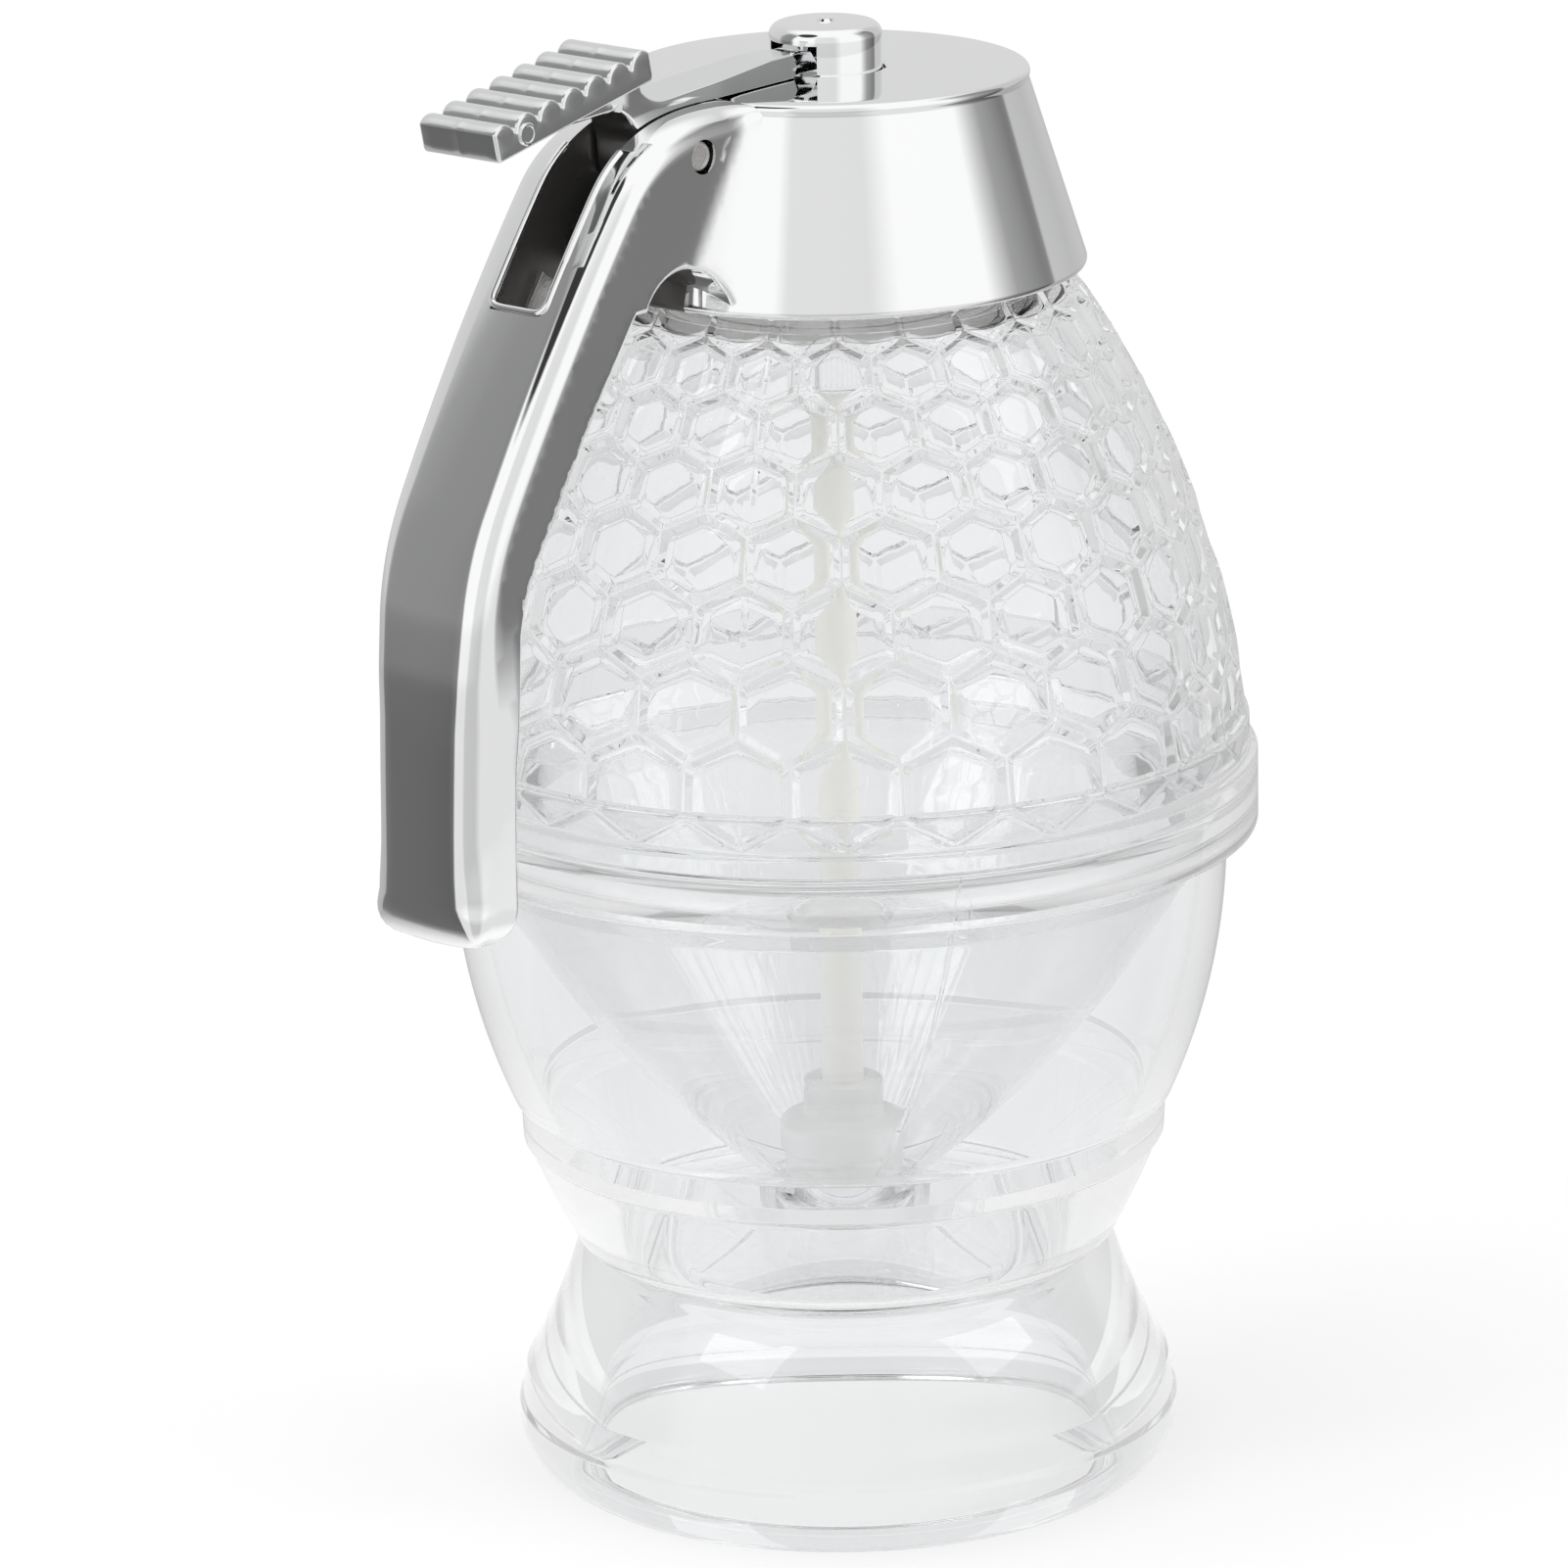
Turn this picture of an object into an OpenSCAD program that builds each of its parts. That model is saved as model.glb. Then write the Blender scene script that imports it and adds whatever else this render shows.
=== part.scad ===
/* [Stand] */
// Outer radius of the foot at its widest point
foot_r = 35.9; // [30:0.1:43.5]
// Height from the table to the waist groove
waist_h = 26.5; // [22:0.1:32]
// Outer radius at the waist groove
waist_r = 28.7; // [24:0.1:34.5]
// Height of the flared lower bowl, from the waist to the ring
flare_h = 10.8; // [9:0.1:13]
// Outer radius of the ring above the flare
ring_r = 34.7; // [29:0.1:41]
// Height of the ring
ring_h = 4.9; // [4:0.1:6]
// Height of the bowl, from the ring to its rim
bowl_h = 29.7; // [24.6:0.1:35.6]
// Outer radius of the bowl at its rim
bowl_r = 41.6; // [40:0.1:43.2]
// Wall of the bowl
stand_wall = 2.6; // [2.1:0.1:3.2]
// Thickness of the bowl's floor
floor_t = 3; // [2.5:0.1:3.6]

/* [Jar] */
// Radius of the band, the widest part of the jar
band_r = 45; // [44:0.1:54]
// Height of the band
band_h = 8.1; // [6.6:0.1:9.6]
// Height of the thin rim above the band, which holds the dome
rim_h = 4; // [3.3:0.1:4.8]
// Height of the honeycomb dome above the rim
dome_h = 46; // [38.3:0.1:55.2]
// Outer radius of the dome at its top edge
dome_top_r = 26.9; // [24:0.1:30]
// Wall of the jar
jar_wall = 2.2; // [1.8:0.1:2.6]
// Outer radius of the threaded neck
neck_r = 19.3; // [16.5:0.1:19.4]
// Height of the neck above the dome
neck_h = 13.2; // [11:0.1:14.5]
// Radius of the outlet hole
outlet_r = 5; // [4.2:0.1:6]
// Outer radius of the drip collar round the outlet
collar_r = 9.8; // [9:0.1:11.7]
// Height of the outlet, from the collar's lower face to the valve seat
outlet_h = 5.4; // [4.5:0.1:6.4]

/* [Lid] */
// Outer radius of the lid's skirt at its lower edge
lid_r = 27.2; // [26.5:0.1:32]
// Outer radius of the lid at its top edge
lid_top_r = 21.4; // [20.8:0.1:22.2]
// Height of the lid
lid_h = 21.3; // [19.5:0.1:23]
// Wall of the lid
lid_wall = 1.7; // [1.4:0.1:2]

/* [Handle] */
// Width of the handle where it leaves the lid
handle_w = 16; // [14.5:0.1:19]
// Width of the handle at its lower end
handle_tip_w = 14; // [12.5:0.1:14.5]
// Thickness of the handle under the shoulder
handle_t = 7.3; // [6.6:0.1:8.2]
// Thickness of the grip
grip_t = 5.2; // [4.8:0.1:6]
// Length of the straight grip below the knee
grip_l = 32; // [26.7:0.1:38.4]
// Wall of the hollow handle
handle_wall = 1.8; // [1.5:0.1:2]
// Width of the window in the handle's outer face
window_w = 7; // [6.8:0.1:7.6]

/* [Lever] */
// Distance of the lever's pivot from the jar's axis
pivot_x = 28; // [27.5:0.1:28.5]
// Depth of the pivot below the lid's top
pivot_drop = 4.2; // [4:0.1:4.6]
// Radius of the steel pivot pin
pin_r = 1.5; // [1.2:0.05:1.8]
// Width of the lever at its hub
hub_w = 6.4; // [5.8:0.1:6.4]
// Width of the lever's arm at its tip
arm_w = 4.8; // [4:0.1:5.6]
// Width of the thumb pad
pad_w = 10.6; // [8.9:0.1:12.7]
// Length of the thumb pad
pad_l = 23.6; // [21:0.1:28.3]
// Number of grip ribs on the pad
rib_count = 7; // [5:1:8]
// Radius of the cross pin that holds the pad
pad_pin_r = 0.95; // [0.8:0.05:1.05]

/* [Valve] */
// Radius of the lift rod
rod_r = 2.25; // [1.9:0.05:2.3]
// Radius of the rod's chrome cap
cap_r = 5.95; // [5.6:0.05:7]
// Height of the cap above the lid's top
cap_rise = 4.7; // [4.6:0.1:5.4]
// Radius of the stopper's flange
stopper_r = 6.9; // [6:0.1:7.1]
// Radius of the stopper's plug, which fills the outlet
plug_r = 4.65; // [3.9:0.05:4.65]

/* [Return spring] */
// Radius of the spring wire
wire_r = 0.4; // [0.3:0.05:0.45]
// Number of whole turns round the pivot pin
spring_turns = 2; // [1:1:2]
// Distance between turns, centre to centre
spring_pitch = 1.25; // [1.25:0.05:1.3]

/* [Hidden] */
$fn = 96;

// Clearances: a loose gap between moving pieces, a gap between pieces that
// rest on each other, and a running fit of a shaft in its hole.
loose = 0.3;
seat = 0.2;
running = 0.06;
tiny = 0.05;

// Heights above the table, from the stand up to the lid's top.
ring_z = waist_h + flare_h;
bowl_z = ring_z + ring_h;
rim_z = bowl_z + bowl_h;
band_z = rim_z + seat;
band_top_z = band_z + band_h;
dome_z = band_top_z + rim_h;
dome_top_z = dome_z + dome_h;
neck_base_z = dome_top_z + 1.3;
neck_top_z = neck_base_z + neck_h;
lid_z = neck_base_z + 1.4;
lid_top_z = lid_z + lid_h;
collar_z = waist_h + 1.1;
valve_z = collar_z + outlet_h;

// Curves of the turned outlines.
foot_curve = 67;
flare_curve = 94;
bowl_curve = 67.5;
funnel_curve = 108;
dome_curve = 103.5;

// ---------- outlines ----------

// Points of the arc of radius R from a to b, in n steps. It bulges to the
// right of the way from a to b, and to the left where R is negative.
function arc(a, b, R, n = 10) =
    let (d = b - a, half = norm(d) / 2, side = -sign(R),
         c = (a + b) / 2 + side * sqrt(R * R - half * half) * [d[1], -d[0]] / norm(d),
         t0 = atan2(a[1] - c[1], a[0] - c[0]),
         sweep = -side * 2 * asin(half / abs(R)))
    [for (i = [0:n]) c + abs(R) * [cos(t0 + sweep * i / n), sin(t0 + sweep * i / n)]];

// Points of an arc given by its centre, radius and two angles.
function bend(c, r, from, to, n = 6) =
    [for (i = [0:n]) let (t = from + (to - from) * i / n) c + r * [cos(t), sin(t)]];

function reversed(list) = [for (i = [len(list) - 1:-1:0]) list[i]];

// A path of curved legs [length, turn in degrees, steps], measured outwards
// and upwards, whose heading falls below the horizontal. Each point is
// [out, up, heading].
function leg(p, length, turn, n) =
    let (R = length / (turn * PI / 180))
    [for (i = [1:n]) let (a = p[2] + turn * i / n)
        [p[0] + R * (sin(a) - sin(p[2])), p[1] + R * (cos(a) - cos(p[2])), a]];
function path(p, legs, k = 0) =
    k == len(legs) ? [p] :
    let (pts = leg(p, legs[k][0], legs[k][1], legs[k][2]))
    concat([p], [for (i = [0:len(pts) - 2]) pts[i]], path(pts[len(pts) - 1], legs, k + 1));

// A path moved sideways towards the jar, by a depth that changes along it.
function inward(pts, depth) =
    [for (i = [0:len(pts) - 1])
        [pts[i][0] - depth[i] * sin(pts[i][2]), pts[i][1] - depth[i] * cos(pts[i][2])]];

// Draws a side view, whose first axis points from the jar to the handle, as a
// slab of the given width.
module slab(width) {
    rotate([0, 0, 180]) rotate([90, 0, 0])
        linear_extrude(height = width, center = true) children();
}

// A bar across the handle at a point of the side view.
module cross_bar(p, r, length) {
    slab(length) translate(p) circle(r = r);
}

// ---------- stand ----------

contact_r = foot_r - 4.9;
hollow_r = contact_r - 1.8;
hollow_top_r = waist_r - 8.2;
hollow_top_z = waist_h - floor_t - 0.5;

module stand() {
    color([0.9, 0.93, 0.95, 0.4])
    rotate_extrude()
        polygon(concat(
            [[0, hollow_top_z]],
            bend([hollow_top_r - 2, hollow_top_z - 2], 2, 90, 30, 3),
            arc([hollow_top_r - 0.1, hollow_top_z - 1.4], [hollow_r, 0.6], -60, 6),
            [[hollow_r + 0.6, 0], [contact_r, 0]],
            arc([contact_r + 1.2, 0.3], [foot_r, 6.4], 7, 6),
            [[foot_r - 0.1, 7.6], [foot_r - 0.7, 8.7]],
            arc([foot_r - 0.9, waist_h - 15], [waist_r, waist_h], -foot_curve, 8),
            arc([waist_r + 0.3, waist_h + 0.2], [ring_r - 0.3, ring_z], flare_curve, 4),
            [[ring_r, ring_z + 0.4], [ring_r + 0.2, bowl_z - 0.3]],
            arc([ring_r + 0.8, bowl_z + 0.3], [bowl_r, rim_z - 0.4], bowl_curve, 10),
            [[bowl_r - 0.4, rim_z], [bowl_r - stand_wall + 0.4, rim_z]],
            arc([bowl_r - stand_wall, rim_z - 0.4],
                [ring_r + 0.6 - stand_wall, bowl_z + 0.5], -bowl_curve, 10),
            [[ring_r - stand_wall, ring_z + 1.6]],
            bend([waist_r - 5.6, waist_h + 2.7], 3, -20, -90, 4),
            [[0, waist_h - 0.3]]));
}

// ---------- jar ----------

skirt_r = bowl_r - stand_wall - 2 * loose;
socket_r = band_r - 2.6;
spigot_z = band_top_z - 3;

module jar_funnel() {
    seat_r = stopper_r + 0.1;
    cone_r = seat_r + 1.6;
    color([0.9, 0.93, 0.95, 0.4])
    rotate_extrude()
        polygon(concat(
            [[outlet_r, collar_z], [collar_r - 0.3, collar_z], [collar_r, collar_z + 0.3],
             [collar_r, collar_z + 2.2], [collar_r - 1.4, collar_z + 3.4], [cone_r, valve_z]],
            arc([cone_r, valve_z + 0.2], [skirt_r, rim_z - 3], funnel_curve, 12),
            [[skirt_r, band_z], [band_r - 0.8, band_z]],
            bend([band_r - 0.8, band_z + 0.8], 0.8, -60, 0, 3),
            bend([band_r - 0.8, band_top_z - 0.6], 0.8, 0, 50, 3),
            [[band_r - 0.9, band_top_z + 0.6], [band_r - 0.9, dome_z],
             [socket_r, dome_z], [socket_r, spigot_z], [socket_r - jar_wall, spigot_z],
             [skirt_r + 0.2, band_z + jar_wall]],
            arc([skirt_r - jar_wall, rim_z - 2], [seat_r + 0.4, valve_z + 0.8],
                -funnel_curve, 12),
            [[seat_r, valve_z], [outlet_r, valve_z]]));
}

thread_pitch = 3;

module jar_dome() {
    spigot_r = socket_r - tiny;
    inner_top_r = dome_top_r - jar_wall - 0.8;
    neck_inner_r = neck_r - jar_wall + 0.3;
    color([0.9, 0.93, 0.95, 0.4]) {
        rotate_extrude()
            polygon(concat(
                [[spigot_r - jar_wall, spigot_z + tiny], [spigot_r, spigot_z + tiny],
                 [spigot_r, dome_z + tiny], [band_r - 1.4, dome_z + tiny]],
                arc([band_r - 1.1, dome_z + 0.3], [dome_top_r, dome_top_z], dome_curve, 16),
                [[dome_top_r - 1, neck_base_z], [neck_r, neck_base_z],
                 [neck_r, neck_top_z - 0.5], [neck_r - 0.5, neck_top_z],
                 [neck_inner_r + 0.3, neck_top_z], [neck_inner_r, neck_top_z - 0.3],
                 [neck_inner_r, neck_base_z - jar_wall]],
                arc([inner_top_r, dome_top_z - jar_wall], [spigot_r - jar_wall, dome_z + 2],
                    -dome_curve, 16)));
        for (k = [0:2]) translate([0, 0, neck_base_z + 3.4 + k * thread_pitch])
            rotate_extrude() polygon([[neck_r - 0.3, -0.9], [neck_r, -0.9],
                [neck_r + 0.45, -0.3], [neck_r + 0.45, 0.3], [neck_r, 0.9], [neck_r - 0.3, 0.9]]);
    }
}

// ---------- lid and handle ----------

plate_z = lid_top_z - lid_wall;
cap_hole_r = cap_r + loose;
skirt_slope = (lid_r - lid_top_r) / (lid_h - 1.8);
// Outer radius of the lid's cone at a height.
function cone_at(z) = lid_r - skirt_slope * (z - lid_z);
// Inner radius of the lid's cone at a height.
function cone_in(z) = cone_at(z) - lid_wall * 1.05;

// The handle's outer face: shoulder, slope, knee and grip.
shoulder_x = pivot_x - 4.5;
shoulder_curve = 19.5;
shoulder_turn = 53;
legs = [[shoulder_curve * shoulder_turn * PI / 180, shoulder_turn, 8],
        [33.6, 8, 5], [13, 22, 5], [grip_l, 3.5, 3]];
outer = path([shoulder_x, lid_top_z, 0], legs);
shoulder_end = 8;
knee_start = 13;
depths = [for (i = [0:len(outer) - 1])
    i <= shoulder_end ? handle_t :
    i >= knee_start ? grip_t :
    handle_t + (grip_t - handle_t) * (i - shoulder_end) / (knee_start - shoulder_end)];
inner = inward(outer, depths);

// The arch between the handle and the lid's skirt.
arch_r = 6;
arch_c = [pivot_x + 3.6, lid_z - 0.2];
arch_foot = arch_c[1] + arch_r * sin(25);
inner_low = [for (p = inner) if (p[1] < arch_foot && p[0] > arch_c[0] + arch_r) p];
grip_end_r = 1.8;

// Side view of the handle, whose outer face and ends are drawn back by inset.
module handle_outline(inset) {
    face = inward(outer, [for (p = outer) inset]);
    face_end = face[len(face) - 1];
    inner_end = inner_low[len(inner_low) - 1];
    polygon(concat(
        [[lid_top_r - 6, lid_top_z - inset]],
        [for (i = [0:len(face) - 2]) face[i]],
        [face_end + [-0.1, grip_end_r], face_end + [-0.6, 0.5 + inset],
         face_end + [-grip_end_r, inset]],
        [inner_end + [0.6, inset], inner_end + [-0.1, 0.7 + inset]],
        [for (i = [len(inner_low) - 2:-1:0]) inner_low[i]],
        bend(arch_c, arch_r, 25, 172, 10),
        [[lid_top_r - 6, lid_z + 0.7]]));
}

// Half width of the handle seen from above: it flares where it meets the lid.
root_flare = 1.3;
root_widths = [[-10, root_flare], [-24, root_flare], [-25.5, root_flare * 0.9],
    [-27, root_flare * 0.5], [-29, root_flare * 0.15], [-31, 0], [-80, 0]];

module handle_plan(draw_in) {
    half = handle_w / 2 - draw_in;
    linear_extrude(height = lid_top_z + 1)
        polygon(concat([for (w = root_widths) [w[0], half + w[1]]],
            reversed([for (w = root_widths) [w[0], -half - w[1]]])));
}

// Front view of the handle, a strip that narrows towards its lower end.
taper_l = 80;
module handle_front(draw_in) {
    low = lid_z - taper_l;
    top = handle_w / 2 + root_flare;
    rotate([90, 0, 90]) linear_extrude(height = 200, center = true)
        polygon([[-top, lid_top_z + 1], [-top, lid_z], [-handle_w / 2 + draw_in, lid_z],
                 [-handle_tip_w / 2 + draw_in, low], [handle_tip_w / 2 - draw_in, low],
                 [handle_w / 2 - draw_in, lid_z], [top, lid_z], [top, lid_top_z + 1]]);
}

edge_r = 2;

module handle_body() {
    for (step = [12, 40, 68]) intersection() {
        slab(handle_w + 2 * root_flare) handle_outline(edge_r * (1 - cos(step)));
        handle_plan(edge_r * (1 - sin(step)));
        handle_front(edge_r * (1 - sin(step)));
    }
}

// The hollow of the grip, open towards the jar.
cavity_w = handle_tip_w - 2 * handle_wall - 1;
cavity_top_z = lid_z + 1;
cavity_low_z = inner[len(inner) - 1][1] + handle_wall + 1;
wall_path = inward(outer, [for (p = outer) handle_wall]);

function between(pts, low, high) = [for (p = pts) if (p[1] > low && p[1] < high) [p[0], p[1]]];
// Point of a falling path at a height.
function at_height(pts, z) =
    [for (i = [0:len(pts) - 2]) if (pts[i][1] >= z && pts[i + 1][1] < z)
        let (t = (z - pts[i + 1][1]) / (pts[i][1] - pts[i + 1][1]))
        [pts[i + 1][0] + t * (pts[i][0] - pts[i + 1][0]), z]][0];

module cavity() {
    deep = inward(outer, [for (d = depths) d + 2]);
    high = cavity_top_z;
    low = cavity_low_z;
    slab(cavity_w)
        polygon(concat([at_height(wall_path, high)], between(wall_path, low, high),
            [at_height(wall_path, low)], [at_height(deep, low)],
            reversed(between(deep, low, high)), [at_height(deep, high) + [0.8, 0]]));
}

// The channel for the lever and its spring, from the lid's edge to the window's
// lower end, where it meets the hollow of the grip.
pivot = [pivot_x, lid_top_z - pivot_drop];
hub_r = 4.2;
channel_r = hub_r + 2 * loose;
window_end_z = lid_z + 3.4;

module channel() {
    foot = at_height(outer, window_end_z);
    slab(window_w)
        polygon(concat(
            [[pivot_x - channel_r, lid_top_z + 3], [pivot_x - channel_r, pivot[1]]],
            bend(pivot, channel_r, 180, 262, 6),
            [arch_c + [-0.1, arch_r + 2.4], arch_c + [3, 3.8],
             [arch_c[0] + arch_r + 0.6, cavity_top_z - 1.5],
             foot + [-handle_wall - 0.6, -2.8], foot, foot + [6, 2],
             [foot[0] + 6, lid_top_z + 3]]));
}

module lid_shell() {
    top_round = 1.8;
    // Ring under the lid's plate that the threaded ring is seated on.
    seat_in = guide_flange_r + 2.2;
    seat_out = seat_in + 1.6;
    rotate_extrude()
        polygon(concat(
            [[cap_hole_r, plate_z], [cap_hole_r, lid_top_z]],
            bend([lid_top_r - top_round, lid_top_z - top_round], top_round, 88, 18, 5),
            bend([lid_r - 0.6, lid_z + 0.6], 0.6, 14, -90, 4),
            [[cone_in(lid_z), lid_z], [cone_in(plate_z - 1), plate_z - 1],
             [cone_in(plate_z) - 1, plate_z], [seat_out, plate_z],
             [seat_out, liner_top_z], [seat_in, liner_top_z], [seat_in, plate_z]]));
}

module lid() {
    inside_z = lid_z - 5;
    color([0.8, 0.81, 0.83])
    difference() {
        union() {
            lid_shell();
            difference() {
                handle_body();
                translate([0, 0, inside_z]) cylinder(h = plate_z - inside_z,
                    r1 = cone_in(inside_z) + 0.5, r2 = cone_in(plate_z) + 0.5);
            }
        }
        cavity();
        channel();
        cross_bar(pivot, pin_r + tiny, handle_w + 2);
        for (side = [-1, 1]) translate([0, side * (handle_w / 2 + 0.1), 0])
            cross_bar(pivot, pin_r + 0.25, 2.4);
    }
}

// Threaded ring inside the lid, which screws onto the jar's neck.
liner_top_z = neck_top_z + 2.3;

module lid_liner() {
    bore_r = neck_r + 0.45 + loose;
    out_r = cone_in(neck_top_z + 0.6) - 0.15;
    disc_r = min(out_r, cone_in(liner_top_z) - 0.15);
    low_z = neck_base_z + 0.4;
    color([0.93, 0.93, 0.92])
    rotate_extrude()
        polygon([[guide_r + tiny * 2, liner_top_z - 1.5], [bore_r, liner_top_z - 1.5],
                 [bore_r, low_z], [out_r, low_z], [out_r, neck_top_z + 0.6],
                 [disc_r, liner_top_z], [guide_r + tiny * 2, liner_top_z]]);
}

// Tube under the lid in which the rod slides.
guide_r = 4.2;
guide_l = 33.6;
guide_flange_r = 8;

module rod_guide() {
    bore_r = rod_r + running;
    low_z = plate_z - guide_l;
    color([0.8, 0.81, 0.83])
    rotate_extrude()
        polygon(concat(
            [[bore_r, plate_z], [guide_flange_r, plate_z], [guide_flange_r, plate_z - 1.8],
             [guide_r, plate_z - 1.8]],
            bend([guide_r - 1.2, low_z + 1.2], 1.2, 0, -90, 4),
            [[bore_r, low_z]]));
}

// Cover that closes the hollow of the grip on the jar's side.
module handle_cover() {
    high = arch_foot - 2.2;
    low = cavity_low_z + 0.15;
    back = inward(outer, [for (d = depths) d + 0.3]);
    front = inward(outer, [for (d = depths) d - 1.2]);
    color([0.8, 0.81, 0.83])
    slab(cavity_w - 0.3)
        polygon(concat([at_height(front, high)], between(front, low, high),
            [at_height(front, low)], [at_height(back, low)],
            reversed(between(back, low, high)), [at_height(back, high)]));
}

// ---------- lever ----------

module pivot_pin() {
    color([0.62, 0.62, 0.62]) cross_bar(pivot, pin_r, handle_w - 2.2);
}

// The pad's underside runs from its inner end to its outer end, and falls.
pad_fall = 12;
pad_in = [pivot_x + 4.2, lid_top_z + 4.1];
function along_pad(s, up = 0) =
    pad_in + s * [cos(pad_fall), -sin(pad_fall)] + up * [sin(pad_fall), cos(pad_fall)];
pad_pin_along = pad_l * 0.81;
pad_pin_at = along_pad(pad_pin_along, 1.55);
tongue_w = arm_w + 0.2;
tongue_t = 1.9;
arm_z = lid_top_z + 0.25;
tip_x = 2.9;
hook = pivot + [3.6, 4.3];

module thumb_lever() {
    color([0.78, 0.79, 0.81])
    difference() {
        union() {
            intersection() {
                slab(hub_w) polygon(concat(
                    [[tip_x, arm_z], [pivot_x - 4.5, arm_z], [pivot_x - 4.2, arm_z - 0.6],
                     pivot + [-hub_r, 1.2]],
                    bend(pivot, hub_r, 180, 360, 12),
                    bend(pivot + [9.6, 0.4], 5.4, 172, 118, 5),
                    [along_pad(6.6, -tiny), along_pad(0.05, -tiny)],
                    bend(pivot + [0.2, 10.4], 5, -45, -88, 5),
                    [[pivot_x - 9.2, lid_top_z + 2.1], [pivot_x - 16.7, arm_z + 2.5],
                     [tip_x + 3, arm_z + 2.55], [tip_x + 1, arm_z + 2.1],
                     [tip_x, arm_z + 1]]));
                rotate([0, 0, 180]) linear_extrude(height = lid_top_z + 20)
                    polygon([[tip_x - 1, -arm_w / 2], [pivot_x - 8, -hub_w / 2],
                             [pivot_x + 20, -hub_w / 2], [pivot_x + 20, hub_w / 2],
                             [pivot_x - 8, hub_w / 2], [tip_x - 1, arm_w / 2]]);
            }
            slab(tongue_w) {
                polygon([along_pad(0.6, -0.3), along_pad(pad_pin_along, -0.02),
                         along_pad(pad_pin_along, tongue_t), along_pad(1.6, tongue_t)]);
                translate(pad_pin_at) circle(r = 1.55);
            }
        }
        slab(2 * coil_half + 2 * wire_r + 0.4)
            polygon([pivot + [-3, -hub_r - 1], pivot + [hub_r + 1, -hub_r - 1],
                     pivot + [hub_r + 1, 2], hook + [1, 0.2], hook + [0, 1.3],
                     hook + [-1.6, 0.9], pivot + [-1.5, 3.4], pivot + [-3.4, 1.5]]);
        cross_bar(pivot, pin_r + running, hub_w + 1);
        cross_bar(hook, wire_r + 0.35, hub_w + 1);
        cross_bar(pad_pin_at, pad_pin_r + tiny, hub_w + 1);
    }
}

module thumb_pad() {
    body_t = 2.5;
    rib_r = 1.25;
    rib_pitch = (pad_l - 2 * rib_r) / (rib_count - 1);
    color([0.78, 0.79, 0.81])
    difference() {
        union() {
            slab(pad_w) {
                polygon([along_pad(0), along_pad(pad_l), along_pad(pad_l, body_t),
                         along_pad(0.6, body_t)]);
            }
            for (k = [0:rib_count - 1])
                cross_bar(along_pad(rib_r + 0.1 + k * rib_pitch * 0.99, body_t), rib_r, pad_w);
        }
        slab(tongue_w + 0.3) {
            polygon([along_pad(-1, -1), along_pad(pad_pin_along, -1),
                     along_pad(pad_pin_along, tongue_t + 0.1), along_pad(-1, tongue_t + 0.1)]);
            translate(pad_pin_at) circle(r = 1.75);
        }
        cross_bar(pad_pin_at, pad_pin_r + tiny, pad_w + 2);
    }
}

module pad_pin() {
    color([0.62, 0.62, 0.62]) cross_bar(pad_pin_at, pad_pin_r, pad_w + 0.3);
}

// ---------- return spring ----------

coil_r = pin_r + wire_r + 0.35;
leg_end = pivot + [16.4, -18];
function bearing(p) = atan2(p[1] - pivot[1], p[0] - pivot[0]);
// The legs leave the coil straight, so it starts and ends where they touch it.
coil_start = bearing(leg_end) - acos(coil_r / norm(leg_end - pivot));
coil_end = bearing(hook) + acos(coil_r / norm(hook - pivot));
coil_sweep = coil_start - coil_end + 360 * (spring_turns + 1);
coil_half = spring_pitch * coil_sweep / 720;
coil_steps = ceil(coil_sweep / 45);

// Centre line of the spring: [out, up, across].
function coil_point(i) =
    let (t = coil_start - coil_sweep * i / coil_steps)
    [pivot[0] + coil_r * cos(t), pivot[1] + coil_r * sin(t),
     -coil_half + 2 * coil_half * i / coil_steps];
coil_points = [for (i = [0:coil_steps]) coil_point(i)];
first = coil_points[0];
last_turn = coil_points[coil_steps];
hook_dir = unit(hook - [last_turn[0], last_turn[1]]);
hook_bend = 0.7;
function near_hook(back, y) =
    [hook[0] - back * hook_dir[0], hook[1] - back * hook_dir[1], coil_half + y];
spring_line = concat(
    [for (k = [4:-1:1])
        [first[0] + (leg_end[0] - first[0]) * k / 4,
         first[1] + (leg_end[1] - first[1]) * k / 4, -coil_half]],
    coil_points,
    [near_hook(hook_bend, 0), near_hook(hook_bend * 0.3, hook_bend * 0.3),
     near_hook(0, hook_bend), [hook[0], hook[1], hub_w / 2 + 0.9]]);

function unit(v) = v / norm(v);
function heading(pts, i) =
    unit(pts[min(i + 1, len(pts) - 1)] - pts[max(i - 1, 0)]);
across = [0, 0, 1];
// A vector square to the heading, which turns with the coil.
function side_of(pts, i) =
    let (h = heading(pts, i),
         a = abs(h[2]) > 0.9 ? [-hook_dir[0], -hook_dir[1], 0] : across)
    unit(a - h * (a * h));
sides = 6;

module tube(pts, r) {
    points = [for (i = [0:len(pts) - 1])
        let (h = heading(pts, i), u = side_of(pts, i), w = cross(h, u))
        for (k = [0:sides - 1]) pts[i] + r * (cos(60 * k) * u + sin(60 * k) * w)];
    last = (len(pts) - 1) * sides;
    faces = concat(
        [for (k = [1:sides - 2]) [0, k, k + 1]],
        [for (i = [0:len(pts) - 2]) for (k = [0:sides - 1]) for (half = [0:1])
            let (a = i * sides + k, b = i * sides + (k + 1) % sides)
            half == 0 ? [a, a + sides, b] : [b, a + sides, b + sides]],
        [for (k = [1:sides - 2]) [last, last + k + 1, last + k]]);
    polyhedron(points = points, faces = faces, convexity = 6);
}

// Least gap between stretches that are half a turn or more apart.
line_end = len(spring_line) - 1;
spring_gap = min([for (i = [0:line_end]) for (j = [i + 4:1:line_end])
    norm(spring_line[i] - spring_line[j])]) - 2 * wire_r;
echo(least_gap_of_the_spring_to_itself = spring_gap);

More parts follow.
